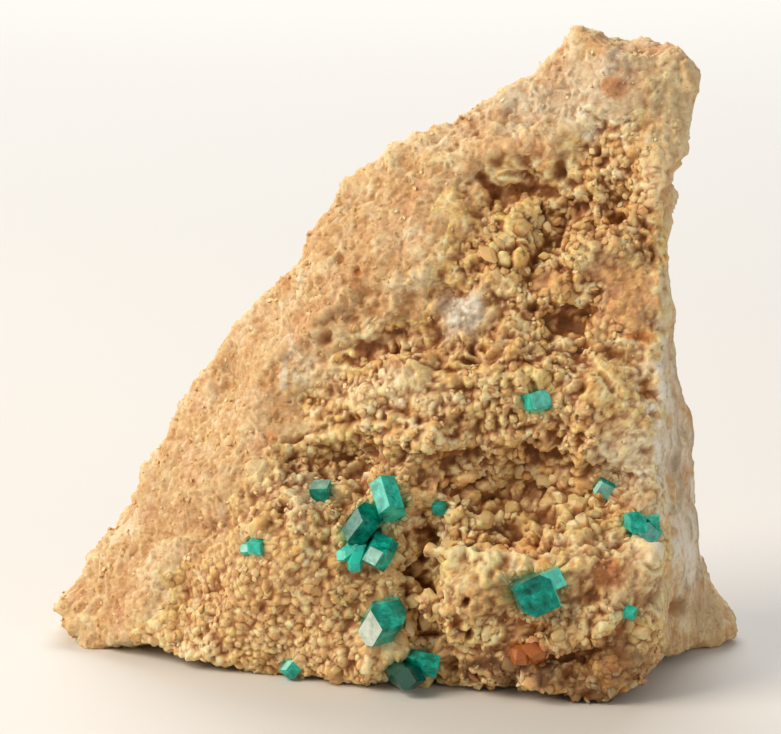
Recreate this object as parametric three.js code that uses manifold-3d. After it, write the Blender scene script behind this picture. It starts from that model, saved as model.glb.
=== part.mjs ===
import * as THREE from "three";
import { ConvexGeometry } from "three/addons/geometries/ConvexGeometry.js";
import { ImprovedNoise } from "three/addons/math/ImprovedNoise.js";
import { mergeVertices } from "three/addons/utils/BufferGeometryUtils.js";
import Module from "manifold-3d";

// Dioptase on matrix: a broken wedge of buff limestone whose front is crusted with pale calcite,
// and on it about twenty small emerald crystals, single or grown together in groups.
// Millimetres, +Z up. The crusted face looks towards -Y, the left tip points to -X.
// While it is being shaped, the rock stands on Z = 0 with its front foot at Y = 0.

const wasm = await Module();
wasm.setup();

// Driving dimensions of the rock.
const TIP_X = -31.1; // the thin tip at the left
const SLOPE_FOOT_X = -32; // where the long left slope would meet the ground, behind the tip
const RIGHT_X = 26.1; // the flat right side, above the spur
const SPUR_X = 30.6; // the spur behind it, at the base
const BACK_Y = 25; // the back face, at the base
const CREST_Z = 55; // the short crest at the top
const UNDERSIDE_Z = 0.5; // the rough underside, through which the feet reach down

// How the surface is sampled.
const CELL = 1.85; // size of one sampling cell, which sets the size of the facets
const ROOM = 3; // how far the sampled space reaches past the rock
const FILL = 0.15; // how far inside a filled grid point is counted
const EDGE_SOFTNESS = 0.45; // how far the broken edges are rounded
const SAME_POINT = 1e-4; // corners nearer to each other than this are one

// How a place on the front is looked for.
const BEFORE_Y = -10; // a depth in front of the whole rock
const HALVINGS = 30; // how often the search for the plain front halves its range
const SEARCH_STEP = 0.1; // step of the walk back to the finished front

// How high and how long the waves of the rough stone are.
const SWELL = { height: 0.95, length: 9 }; // slow swells, everywhere
const BEDS = { height: 0.45, inCrust: 0.5, length: 9, depth: 5, thickness: 2.6 };
const BED_RISE = [0.95, 0.3]; // the beds rise to the right, as seen from the front
const FINE = { height: 0.5, length: 3.1 }; // small waves, everywhere
const LUMPS = { height: 0.7, length: 3.6, sunk: 0.6 }; // lumps of the calcite crust

// Where the crust of calcite fades out, as the start and the end of each fading.
const CRUST_LEFT = [-2, 4]; // to the right of the line along the top of the long left slope
const CRUST_RIGHT = [21.5, 24];
const CRUST_TOP = [46, 51];
const CRUST_DEPTH = [4, 8]; // behind the two crusted faces
const SLOPE_LINE = { foot: -24, across: [0.813, -0.583] }; // where that line starts, and its normal

const GAP = 0.3; // clearance of each crystal in its socket

const vec = (x, y, z) => new THREE.Vector3(x, y, z);
const smoothstep = THREE.MathUtils.smoothstep;
const noise = new ImprovedNoise();

// Distances.
// Each is negative inside the shape and positive outside it, in about millimetres.

// The rock lies behind a broken face that looks towards out and passes through at.
function face(out, at) {
  const normal = vec(...out).normalize();
  const offset = normal.dot(vec(...at));
  return (p) => normal.dot(p) - offset;
}

// The common part of several faces, with the edges between them rounded.
function within(faces) {
  return (p) => {
    let sum = 0;
    for (const distance of faces) sum += Math.exp(distance(p) / EDGE_SOFTNESS);
    return EDGE_SOFTNESS * Math.log(sum);
  };
}

function ellipsoid(centre, radii) {
  const [rx, ry, rz] = radii;
  const least = Math.min(rx, ry, rz);
  return (p) => {
    const x = (p.x - centre.x) / rx;
    const y = (p.y - centre.y) / ry;
    const z = (p.z - centre.z) / rz;
    return (Math.sqrt(x * x + y * y + z * z) - 1) * least;
  };
}

// A round bar from one point to another.
function bar(from, to, radius) {
  const axis = to.clone().sub(from);
  const lengthSquared = axis.lengthSq();
  const rest = vec(0, 0, 0);
  return (p) => {
    rest.copy(p).sub(from);
    const along = THREE.MathUtils.clamp(rest.dot(axis) / lengthSquared, 0, 1);
    return rest.addScaledVector(axis, -along).length() - radius;
  };
}

// A block with rounded edges, turned about the viewing direction by turn degrees.
function block(centre, half, turn, round) {
  const cos = Math.cos(THREE.MathUtils.degToRad(turn));
  const sin = Math.sin(THREE.MathUtils.degToRad(turn));
  return (p) => {
    const dx = p.x - centre.x;
    const dz = p.z - centre.z;
    const x = Math.abs(dx * cos + dz * sin) - half[0] + round;
    const y = Math.abs(p.y - centre.y) - half[1] + round;
    const z = Math.abs(dz * cos - dx * sin) - half[2] + round;
    const outside = Math.hypot(Math.max(x, 0), Math.max(y, 0), Math.max(z, 0));
    return outside + Math.min(Math.max(x, y, z), 0) - round;
  };
}

// Joins and cuts whose seams are rounded over a width of soft.
function joined(a, b, soft) {
  const h = Math.max(soft - Math.abs(a - b), 0) / soft;
  return Math.min(a, b) - (h * h * soft) / 4;
}
const carved = (a, b, soft) => -joined(-a, b, soft);

// The rock.

const frontFaces = [
  face([-0.427, -0.873, 0.236], [-10.4, 6.8, 0.2]), // left front, crusted
  face([-0.161, -0.928, 0.336], [16.8, 0, 0]), // right front, crusted
  face([-0.354, -0.763, 0.541], [6.3, 16.6, 43.2]), // upper front, weathered
  face([-0.741, -0.485, 0.465], [SLOPE_FOOT_X, BACK_Y, 2.4]), // long left slope, weathered
];

const body = within([
  ...frontFaces,
  face([0.92, -0.39, 0.02], [RIGHT_X, 14, 13]), // right side
  face([0.98, 0.2, 0.02], [RIGHT_X, 15, 13]), // right side, turning to the back
  face([0.05, -0.15, 0.987], [16, 19, CREST_Z]), // crest
  face([0.8, -0.1, 0.6], [26.6, 18, 53.4]), // right end of the crest
  face([-0.62, 0.77, 0.46], [SLOPE_FOOT_X, BACK_Y, 2.4]), // back, behind the long left slope
  face([-0.3, 0.76, 0.61], [4.4, 21.5, 48.6]), // back, behind the upper front
  face([-0.006, 0.998, 0.063], [0, BACK_Y + 4, 2.1]), // back
  face([-0.5, 0, -0.866], [-28, 17.9, 0]), // under the left tip
  face([0.6, -0.35, -0.72], [20.6, 3, 1]), // under the right front corner
  face([0, 0, -1], [0, 0, UNDERSIDE_Z]), // underside
]);

const spur = within([
  face([0.91, -0.1, 0.4], [SPUR_X, 19, 0.9]),
  face([0.66, -0.72, 0.2], [26.3, 14.7, 0]),
  face([0.3, 0.2, 0.93], [26, 20, 11]),
  face([0.2, 0.97, 0.1], [SPUR_X, 24.5, 0]),
  face([-1, 0, 0], [18, 20, 0]),
  face([0, 0, -1], [0, 0, UNDERSIDE_Z]),
]);

// The depth of the plain front at a place seen from the front, found by halving.
function plainFront(x, z) {
  let outer = BEFORE_Y;
  let inner = BACK_Y;
  const p = vec(x, 0, z);
  for (let step = 0; step < HALVINGS; step++) {
    p.y = (outer + inner) / 2;
    if (body(p) < 0) inner = p.y;
    else outer = p.y;
  }
  return inner;
}

// A point at x and z, as far behind the plain front as behind says.
const atFront = (x, z, behind) => vec(x, plainFront(x, z) + behind, z);

// What stands out of the plain faces: where the forms are, what they measure, how soft their seam is.
const swells = [
  [block(atFront(12.8, 6, 5.4), [10.2, 6.6, 7.4], 0, 1.6), 0.9], // lower right block
  [bar(atFront(-12.5, 16.5, 2.6), atFront(3.5, 23.2, 2.4), 3.6), 1.2], // ledge of the lower left
  [ellipsoid(atFront(-7, 9, 3), [9, 4, 7]), 2], // belly of the lower left
  [bar(atFront(8.5, 26.6, 1.9), atFront(19, 24.4, 2), 2.9), 1.2], // band below the middle
  [block(vec(21.1, 19.2, 50.4), [4.8, 3.8, 4.4], -10, 1.6), 1.2], // shoulder at the upper right
  [ellipsoid(atFront(21.7, 43, 3), [3.4, 4.2, 5.8]), 1.2], // nose below the shoulder
  [bar(vec(-17.6, 24, 19.4), vec(-11.2, 23.4, 28.8), 2.7), 1.6], // bulge of the left outline
  [bar(vec(-21.2, 23.4, 12.9), vec(-17.6, 23.4, 19.4), 2.8), 1.4], // its lower part
  [bar(atFront(8.6, 45.2, 2), atFront(16, 46.2, 1.8), 2.4), 1.4], // brow over the upper hollow
  [bar(atFront(2, 37, 2), atFront(9, 33.5, 2), 2.7), 1.4], // shoulder left of the middle
  [ellipsoid(vec(16.1, 19.4, 55), [1, 1, 1.9]), 0.6], // knob on the crest
  [bar(vec(8.6, 20.2, 49.5), vec(13.8, 19.6, 52.7), 1.5), 1.2], // left shoulder of the crest
  [bar(vec(6, 23, 34), vec(20, 24, 22), 4.4), 2], // rib of the back
  [bar(vec(-14.5, 10.6, 0.9), vec(-5.5, 8.4, 0.7), 1.9), 1], // lower edge of the left front
  [ellipsoid(vec(-25, 20, 1), [4, 3.6, 2.4]), 1], // left foot
  [ellipsoid(vec(16.4, 3.4, 1), [4.6, 3, 2.6]), 1], // front foot
  [ellipsoid(vec(26.4, 19.6, 1), [3.6, 4, 2.4]), 1], // right foot
  [ellipsoid(vec(-2, 27, 1), [5, 2.6, 2.4]), 1], // back foot
];

// What is carved into them.
const hollows = [
  [ellipsoid(atFront(10.6, 17.8, 0.4), [7.4, 3.4, 3.7]), 1.1], // pocket over the lower block
  [bar(atFront(3, 1, -0.6), atFront(2.6, 14.5, -0.4), 2.1), 0.8], // cleft left of the lower block
  [ellipsoid(atFront(-4.4, 19.7, -0.6), [3.1, 3.2, 2.1]), 0.8], // hole beside the middle crystals
  [bar(atFront(-9.5, 23.6, 0.1), atFront(-2.4, 27.2, 0), 2.3), 1.4], // diagonal trough, left half
  [bar(atFront(-1, 29, 0), atFront(4.6, 32.4, -0.4), 2.1), 1.4], // its right half, higher up
  [bar(atFront(-9, 22, 0.1), atFront(-7.6, 27.4, 0.1), 1.5), 1], // its left end
  [bar(atFront(7.4, 42.6, 0), atFront(13.4, 42.2, 0.2), 1.8), 0.8], // upper hollow
  [bar(atFront(14.4, 42, 0), atFront(16.4, 44.6, 0), 1.1), 0.6], // its right arm
  [ellipsoid(atFront(12, 39.6, -0.6), [6.4, 2.8, 3.2]), 1.4], // bay below it
  [ellipsoid(atFront(19, 40.6, 0), [2, 2.6, 1.8]), 0.8], // hole beside the nose
  [ellipsoid(atFront(14, 31.9, 0), [2.6, 2.4, 1.7]), 0.8], // middle hollow
  [ellipsoid(atFront(6.4, 28.8, 0.4), [1.3, 2.2, 0.9]), 0.4], // slit left of it
  [bar(atFront(6.4, 21.4, 0.3), atFront(16.5, 21.6, 0.2), 1.2), 0.7], // seam over the pocket
  [ellipsoid(atFront(15, 4.4, -0.4), [2.7, 2.6, 1.7]), 0.8], // hole in the lower block
  [ellipsoid(atFront(-19.5, 8, -1.2), [1.5, 2.4, 6]), 1], // crease beside the tip
  [block(vec(29.2, 17, 32.4), [5.5, 24, 9], 5, 3), 1.6], // waist of the right side
  [block(vec(30.7, 17, 43.4), [6, 24, 4], 5, 2), 1.2], // step above it, beside the nose
  [ellipsoid(vec(25.6, 9.5, 4.6), [2.2, 3.4, 2.6]), 0.8], // pit in front of the spur
  [ellipsoid(vec(-16.2, 19.6, 23.6), [1.6, 2.6, 1]), 0.6], // nick on the left outline
  [bar(vec(-15, 31.6, 8), vec(2, 30.6, 23), 4.2), 1.4], // flake scar on the back
  [ellipsoid(vec(10, 30.6, 30), [8, 5.6, 8]), 1.2], // hollow of the back
  [ellipsoid(vec(14, 31.6, 8), [7, 5, 5.4]), 1], // hollow of the back, near the base
  [bar(vec(-23.4, 12.2, -2.4), vec(-16, 9.2, -3), 3.6), 1], // arch under the left front
  [ellipsoid(vec(0, 17.5, -4), [21, 8.5, 5.4]), 1.2], // arch under the middle
  [bar(vec(5, 1, -2.3), vec(11, 1, -2.1), 4), 0.6], // arch beside the front foot
  [bar(vec(22.4, 1.5, -0.3), vec(25, 9, -1), 3.4), 0.8], // undercut of the right front corner
  [bar(vec(24, 8, -2), vec(14, 18, -3), 3.6), 0.8], // arch under the right
];

// How far behind the two crusted planes a point lies.
const plainDepth = (p) => Math.min(-frontFaces[0](p), -frontFaces[1](p));

// 1 where the face is crusted with calcite, 0 on the weathered slope and on the other sides.
function crusted(p) {
  const [acrossX, acrossZ] = SLOPE_LINE.across;
  const rightOfSlope = acrossX * (p.x - SLOPE_LINE.foot) + acrossZ * p.z;
  return (
    smoothstep(rightOfSlope, ...CRUST_LEFT) *
    (1 - smoothstep(p.x, ...CRUST_RIGHT)) *
    (1 - smoothstep(p.z, ...CRUST_TOP)) *
    (1 - smoothstep(plainDepth(p), ...CRUST_DEPTH))
  );
}

// Roughness of the stone: slow swells everywhere, beds that rise to the right, and lumps in the crust.
function roughness(p) {
  const [level, rise] = BED_RISE;
  const along = p.x * level + p.z * rise;
  const across = p.z * level - p.x * rise;
  const waves = (length, x, y, z) => noise.noise(p.x / length + x, p.y / length + y, p.z / length + z);
  const slow = waves(SWELL.length, 0, 7, 0);
  const beds = noise.noise(along / BEDS.length + 3, p.y / BEDS.depth, across / BEDS.thickness);
  const fine = waves(FINE.length, 0, 0, 5);
  const lumps = 1 - 2 * Math.abs(waves(LUMPS.length, 9, 0, 0));
  const crust = crusted(p);
  const bedHeight = BEDS.height + BEDS.inCrust * crust;
  const stone = SWELL.height * slow + bedHeight * beds + FINE.height * fine;
  return stone + LUMPS.height * crust * (lumps - LUMPS.sunk);
}

function rockDistance(p) {
  let distance = joined(body(p), spur(p), 1);
  for (const [form, soft] of swells) distance = joined(distance, form(p), soft);
  for (const [form, soft] of hollows) distance = carved(distance, form(p), soft);
  return distance - roughness(p);
}

// From distances to a mesh.

// Two corners of a grid square that are inside and face each other across two that are outside would
// pinch the surface to a line there, so the outside corner that is nearest to the surface is filled.
function fillPinches(values, [nx, ny, nz]) {
  const steps = [1, nx, nx * ny];
  const squares = [[0, 1], [0, 2], [1, 2]];
  let filled = true;
  while (filled) {
    filled = false;
    for (let k = 0; k < nz - 1; k++)
      for (let j = 0; j < ny - 1; j++)
        for (let i = 0; i < nx - 1; i++) {
          const a = i + nx * (j + ny * k);
          for (const [u, v] of squares) {
            const [b, c, d] = [a + steps[u], a + steps[v], a + steps[u] + steps[v]];
            const inside = [a, b, c, d].map((n) => values[n] < 0);
            if (inside[0] !== inside[3] || inside[1] !== inside[2] || inside[0] === inside[1]) continue;
            const [first, second] = inside[0] ? [b, c] : [a, d];
            values[values[first] < values[second] ? first : second] = -FILL;
            filled = true;
          }
        }
  }
}

// A closed mesh of the surface where distance is zero. Each cell that the surface passes through
// gets one vertex, and each grid line that it crosses gets one four-sided patch.
function surfaceOf(distance, low, high, cell) {
  const count = high.clone().sub(low).divideScalar(cell).ceil().addScalar(1);
  const [nx, ny, nz] = count.toArray();
  const index = (i, j, k) => i + nx * (j + ny * k);
  const point = (i, j, k) => vec(i, j, k).multiplyScalar(cell).add(low);
  const values = new Float64Array(nx * ny * nz);
  for (let k = 0; k < nz; k++)
    for (let j = 0; j < ny; j++)
      for (let i = 0; i < nx; i++) values[index(i, j, k)] = distance(point(i, j, k));
  fillPinches(values, [nx, ny, nz]);

  const corners = [];
  for (let c = 0; c < 8; c++) corners.push([c & 1, (c >> 1) & 1, c >> 2]);
  const edges = [];
  for (let a = 0; a < 8; a++)
    for (const bit of [1, 2, 4]) if (!(a & bit)) edges.push([a, a | bit]);

  const positions = [];
  const vertexOf = new Map();
  for (let k = 0; k < nz - 1; k++)
    for (let j = 0; j < ny - 1; j++)
      for (let i = 0; i < nx - 1; i++) {
        const at = corners.map(([a, b, c]) => values[index(i + a, j + b, k + c)]);
        const middle = vec(0, 0, 0);
        let crossings = 0;
        for (const [a, b] of edges) {
          if (at[a] < 0 === at[b] < 0) continue;
          const share = at[a] / (at[a] - at[b]);
          middle.add(vec(...corners[a]).lerp(vec(...corners[b]), share));
          crossings++;
        }
        if (!crossings) continue;
        middle.divideScalar(crossings).add(vec(i, j, k)).multiplyScalar(cell).add(low);
        vertexOf.set(index(i, j, k), positions.length / 3);
        positions.push(...middle.toArray());
      }

  const triangles = [];
  const corner = (n) => vec().fromArray(positions, 3 * n);
  const patch = (cells, flipped) => {
    const [a, b, c, d] = flipped ? cells.reverse() : cells;
    // The shorter diagonal keeps the two triangles nearer to equal sides.
    if (corner(a).distanceTo(corner(c)) < corner(b).distanceTo(corner(d)))
      triangles.push(a, b, c, a, c, d);
    else triangles.push(b, c, d, b, d, a);
  };
  for (let k = 1; k < nz - 1; k++)
    for (let j = 1; j < ny - 1; j++)
      for (let i = 1; i < nx - 1; i++) {
        const inside = values[index(i, j, k)] < 0;
        const cellsAround = (u, v) =>
          [[0, 0], [1, 0], [1, 1], [0, 1]].map(([a, b]) =>
            vertexOf.get(
              index(i - a * u[0] - b * v[0], j - a * u[1] - b * v[1], k - a * u[2] - b * v[2]),
            ),
          );
        if (inside !== values[index(i + 1, j, k)] < 0)
          patch(cellsAround([0, 1, 0], [0, 0, 1]), !inside);
        if (inside !== values[index(i, j + 1, k)] < 0)
          patch(cellsAround([0, 0, 1], [1, 0, 0]), !inside);
        if (inside !== values[index(i, j, k + 1)] < 0)
          patch(cellsAround([1, 0, 0], [0, 1, 0]), !inside);
      }

  const geometry = new THREE.BufferGeometry();
  geometry.setAttribute("position", new THREE.Float32BufferAttribute(positions, 3));
  geometry.setIndex(triangles);
  return geometry;
}

// A closed three.js geometry as a solid that can be joined and cut.
function solidOf(geometry) {
  const bare = new THREE.BufferGeometry();
  bare.setAttribute("position", geometry.getAttribute("position"));
  bare.setIndex(geometry.index);
  const merged = mergeVertices(bare, SAME_POINT);
  return new wasm.Manifold(
    new wasm.Mesh({
      numProp: 3,
      vertProperties: merged.attributes.position.array,
      triVerts: new Uint32Array(merged.index.array),
    }),
  );
}

// A solid as a three.js geometry with flat facets.
function geometryOf(solid) {
  const { vertProperties, triVerts, numProp } = solid.getMesh();
  const geometry = new THREE.BufferGeometry();
  const data = new THREE.InterleavedBuffer(vertProperties, numProp);
  geometry.setAttribute("position", new THREE.InterleavedBufferAttribute(data, 3, 0));
  geometry.setIndex(new THREE.BufferAttribute(triVerts, 1));
  const flat = geometry.toNonIndexed();
  flat.computeVertexNormals();
  return flat;
}

// The rough stone, cut off level at Z = 0.
const rough = surfaceOf(
  rockDistance,
  vec(TIP_X - ROOM, -2 - ROOM, -2 * ROOM),
  vec(SPUR_X + ROOM, BACK_Y + 4 + ROOM, CREST_Z + 2 + ROOM),
  CELL,
);
const wide = 4 * SPUR_X;
const below = new THREE.BoxGeometry(wide, wide, CREST_Z).translate(0, 0, -CREST_Z / 2);
let rock = solidOf(rough);

// The place on the stone's front at x and z, found by walking back from the viewer's side.
function onFront(x, z) {
  const p = vec(x, BEFORE_Y, z);
  while (rockDistance(p) > 0 && p.y < BACK_Y) p.y += SEARCH_STEP;
  return p;
}

// A solid turned so that its long axis points along axis, and moved to centre.
function placed(geometry, axis, roll, centre) {
  const upright = vec(0, 0, 1);
  const turn = new THREE.Quaternion().setFromUnitVectors(upright, vec(...axis).normalize());
  const about = new THREE.Quaternion().setFromAxisAngle(upright, THREE.MathUtils.degToRad(roll));
  geometry.applyQuaternion(turn.multiply(about));
  return geometry.translate(...centre.toArray());
}

// Calcite.

// A cleavage block: three edges of equal length that meet at 101.9 degrees at its blunt corners.
const BLUNT_ANGLE = THREE.MathUtils.degToRad(101.9);
function cleavageBlock(edge, stretch) {
  const lean = Math.acos(Math.sqrt((2 * Math.cos(BLUNT_ANGLE) + 1) / 3));
  const edges = [0, 1, 2].map((n) => {
    const angle = (2 * Math.PI * n) / 3;
    const out = Math.sin(lean);
    return vec(out * Math.cos(angle), out * Math.sin(angle), Math.cos(lean)).multiplyScalar(edge);
  });
  edges[0].multiplyScalar(stretch);
  return new THREE.BoxGeometry(1, 1, 1).applyMatrix4(new THREE.Matrix4().makeBasis(...edges));
}

// Where the larger blocks of calcite crowd: centre, half width and height, how many, their edge.
const calcitePatches = [
  { at: [10.6, 16.6], half: [6.8, 3.4], count: 12, edge: 1.6 }, // pocket over the lower block
  { at: [13.4, 5.2], half: [6.6, 2.8], count: 11, edge: 1.7 }, // lower right block
  { at: [13.2, 40.2], half: [6, 3], count: 9, edge: 1.6 }, // below the upper hollow
  { at: [3.2, 8], half: [1.6, 3], count: 3, edge: 1.5 }, // cleft
  { at: [10.9, 30], half: [5, 2.2], count: 4, edge: 1.6 }, // middle
];
const CALCITE_SUNK = 0.3; // how far the middle of a block lies behind the stone's face
const CALCITE_SEED = 41; // picks the places, turns and sizes of the blocks
const seededRandom = THREE.MathUtils.seededRandom;

function addCalcite(size, stretch, axis, roll, x, z) {
  const seat = onFront(x, z).add(vec(0, CALCITE_SUNK, 0));
  rock = rock.add(solidOf(placed(cleavageBlock(size, stretch), axis, roll, seat)));
}
seededRandom(CALCITE_SEED);
for (const { at, half, count, edge } of calcitePatches)
  for (let n = 0; n < count; n++) {
    const angle = 2 * Math.PI * seededRandom();
    const reach = Math.sqrt(seededRandom());
    const x = at[0] + half[0] * reach * Math.cos(angle);
    const z = at[1] + half[1] * reach * Math.sin(angle);
    const axis = [seededRandom() - 0.5, seededRandom() - 0.9, seededRandom() - 0.3];
    addCalcite(edge * (0.75 + 0.5 * seededRandom()), 1, axis, 360 * seededRandom(), x, z);
  }
addCalcite(2.2, 1.1, [-0.3, -0.8, 0.5], 20, 9.7, 38.3); // the largest, pale, below the upper hollow
addCalcite(1.9, 1.7, [0.2, -0.7, 0.7], 75, 10.9, 4.3); // a rust-red one near the foot
rock = rock.subtract(solidOf(below));

// Dioptase.

const CAP_SLOPE = 1.233; // how steeply a cap face falls away from the tip

// The faces of a crystal about the origin, with its long axis along Z. Six prism faces stand round
// the axis. Each end has three cap faces that slope down to every second prism edge, and the two
// ends are half a step apart. Real crystals keep these directions while some faces grow further out
// than others, so each pair of opposite prism faces has its own distance from the axis.
function dioptaseFaces(sides, length) {
  const faces = [];
  for (let n = 0; n < 6; n++) {
    const edge = (n * Math.PI) / 3;
    const side = edge + Math.PI / 6;
    faces.push(new THREE.Plane(vec(Math.cos(side), Math.sin(side), 0), -sides[n % 3]));
    const end = n % 2 ? -1 : 1;
    const cap = vec(CAP_SLOPE * Math.cos(edge), CAP_SLOPE * Math.sin(edge), end);
    faces.push(new THREE.Plane(cap, -length / 2).normalize());
  }
  return faces;
}

// The solid inside all the faces, each moved out by room. Its corners are the points where three
// faces meet and that no other face cuts off.
function crystalWithin(faces, room) {
  const distances = faces.map((face) => room - face.constant);
  const corners = [];
  for (let a = 0; a < faces.length; a++)
    for (let b = 0; b < a; b++)
      for (let c = 0; c < b; c++) {
        const [p, q, r] = [a, b, c].map((n) => faces[n].normal);
        const spread = p.dot(q.clone().cross(r));
        if (Math.abs(spread) < SAME_POINT) continue;
        const corner = q.clone().cross(r).multiplyScalar(distances[a]);
        corner.addScaledVector(r.clone().cross(p), distances[b]);
        corner.addScaledVector(p.clone().cross(q), distances[c]).divideScalar(spread);
        const kept = faces.every((face, n) => face.normal.dot(corner) < distances[n] + SAME_POINT);
        const known = corners.some((other) => other.distanceTo(corner) < SAME_POINT);
        if (kept && !known) corners.push(corner);
      }
  return new ConvexGeometry(corners);
}

// Crystals by group: at is the place on the front, out how far the middle stands before the stone,
// axis the long axis, roll the turn about it, then the distances to the three pairs of prism faces
// and the length from tip to tip.
const crystalGroups = {
  dioptase_upper: [
    { at: [12, 24.7], out: 0.3, axis: [-0.45, -0.65, 0.6], roll: 80, sides: [1.1, 1.3, 1], length: 2.8 },
  ],
  dioptase_left: [
    { at: [-6.8, 16.4], out: 0.4, axis: [0.5, -0.45, -0.7], roll: 100, sides: [1.9, 2, 1.8], length: 2.5 },
  ],
  dioptase_centre_cluster: [
    { at: [-0.9, 16.3], out: 0.7, axis: [0.05, -1, 0], roll: 50, sides: [2.1, 2.1, 1.15], length: 4.6 },
    { at: [-3.1, 13.9], out: 0.8, axis: [0, -0.9, 0.4], roll: 50, sides: [2, 1.2, 1.8], length: 5.6 },
    { at: [-1.6, 12.1], out: 0.8, axis: [-0.2, -1, -0.3], roll: 105, sides: [1.1, 1.3, 1], length: 4.8 },
    { at: [-4.3, 12], out: 0.5, axis: [-0.7, -0.5, -0.35], roll: 0, sides: [0.6, 0.5, 0.65], length: 2.8 },
    { at: [-3.6, 11.6], out: 0.6, axis: [-0.3, -0.6, -0.7], roll: 0, sides: [0.6, 0.7, 0.6], length: 3.2 },
  ],
  dioptase_small_centre: [
    { at: [3.6, 15.3], out: 0.2, axis: [0.2, -0.9, 0.3], roll: 0, sides: [0.7, 0.65, 0.75], length: 1.8 },
  ],
  dioptase_far_left_cluster: [
    { at: [-12.4, 12], out: 0.2, axis: [0.3, -0.8, 0.4], roll: 0, sides: [0.8, 0.7, 0.85], length: 2 },
    { at: [-13, 11.6], out: 0.2, axis: [-0.8, -0.5, -0.3], roll: 0, sides: [0.55, 0.5, 0.6], length: 2.1 },
  ],
  dioptase_lower: [
    { at: [-1.4, 6.2], out: 0.4, axis: [0, -1, 0], roll: 65, sides: [1.8, 1.55, 2.3], length: 5.4 },
  ],
  dioptase_foot_pair: [
    { at: [2, 2.5], out: 0.6, axis: [0.65, -0.75, 0], roll: 25, sides: [1, 1, 1.25], length: 4.5 },
    { at: [0.5, 1.7], out: 0.4, axis: [0.4, -0.9, 0], roll: 75, sides: [1, 1.15, 1.15], length: 5 },
  ],
  dioptase_base_left: [
    { at: [-9.5, 1], out: 0.1, axis: [0.9, -0.4, 0.1], roll: 0, sides: [0.8, 0.75, 0.85], length: 2.3 },
  ],
  dioptase_right_large: [
    { at: [11.6, 9.7], out: 0.7, axis: [-1, -0.8, 0.6], roll: 65, sides: [2.35, 2.3, 1.75], length: 5.1 },
    { at: [13.1, 11.1], out: 0.6, axis: [0.4, -0.3, 0.9], roll: 30, sides: [1.4, 1.6, 1.5], length: 2.6 },
  ],
  dioptase_right_small: [
    { at: [17.9, 16.9], out: 0.4, axis: [0.25, -0.7, -0.7], roll: 10, sides: [1, 0.9, 0.9], length: 2.5 },
  ],
  dioptase_right_cluster: [
    { at: [20.4, 14.9], out: 0.4, axis: [0.6, -0.6, -0.4], roll: 70, sides: [0.9, 1.1, 1], length: 3 },
    { at: [21.4, 13.8], out: 0.5, axis: [-0.6, -1, 0.3], roll: 105, sides: [1, 1.1, 0.9], length: 3.4 },
    { at: [21.9, 14.7], out: 0.4, axis: [0.5, -0.7, 0.5], roll: 20, sides: [0.6, 0.7, 0.65], length: 2.2 },
  ],
  dioptase_right_tiny: [
    { at: [19.8, 8], out: 0.2, axis: [0.3, -0.9, 0.2], roll: 0, sides: [0.65, 0.6, 0.7], length: 1.6 },
  ],
};

const emerald = new THREE.MeshStandardMaterial({ color: "#0a8f78", roughness: 0.18 });
const dioptases = [];
for (const [name, crystals] of Object.entries(crystalGroups)) {
  // The joined crystals of the group, with every face moved out by room.
  const grown = (room) =>
    crystals
      .map(({ at, out, axis, roll, sides, length }) => {
        const middle = onFront(...at).add(vec(0, -out, 0));
        const crystal = crystalWithin(dioptaseFaces(sides, length), room);
        return solidOf(placed(crystal, axis, roll, middle));
      })
      .reduce((whole, crystal) => whole.add(crystal));
  const group = new THREE.Mesh(geometryOf(grown(0)), emerald);
  group.name = name;
  dioptases.push(group);
  rock = rock.subtract(grown(GAP)); // the socket
}

// The matrix: the largest piece of what is left, without crumbs that a socket cut free.
rock = rock.decompose().sort((a, b) => b.volume() - a.volume())[0];
const limestone = new THREE.MeshStandardMaterial({ color: "#d9b98c", roughness: 0.92 });
const matrix = new THREE.Mesh(geometryOf(rock), limestone);
matrix.name = "matrix";

// The specimen stands on the middle of its base.
const specimen = new THREE.Group();
specimen.add(matrix, ...dioptases);
const bounds = new THREE.Box3().setFromObject(specimen);
const middle = bounds.getCenter(vec(0, 0, 0));
specimen.position.set(-middle.x, -middle.y, -bounds.min.z);

export default specimen;
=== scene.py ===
# %% [markdown]
# # A dioptase specimen, finished in Blender
# The real object is a wedge of buff limestone. Its front is crusted with sugary calcite, and teal
# dioptase crystals have grown on the crust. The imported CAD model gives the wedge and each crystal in
# its place. This script adds what the CAD leaves out: rough stone, thousands of calcite grains, and
# the colours and gloss of each mineral. Each step says what the real thing is like before it is made.

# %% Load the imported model
import math

import bmesh
import bpy
import numpy as np
from mathutils import Matrix, Vector, noise
from mathutils.bvhtree import BVHTree


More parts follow.
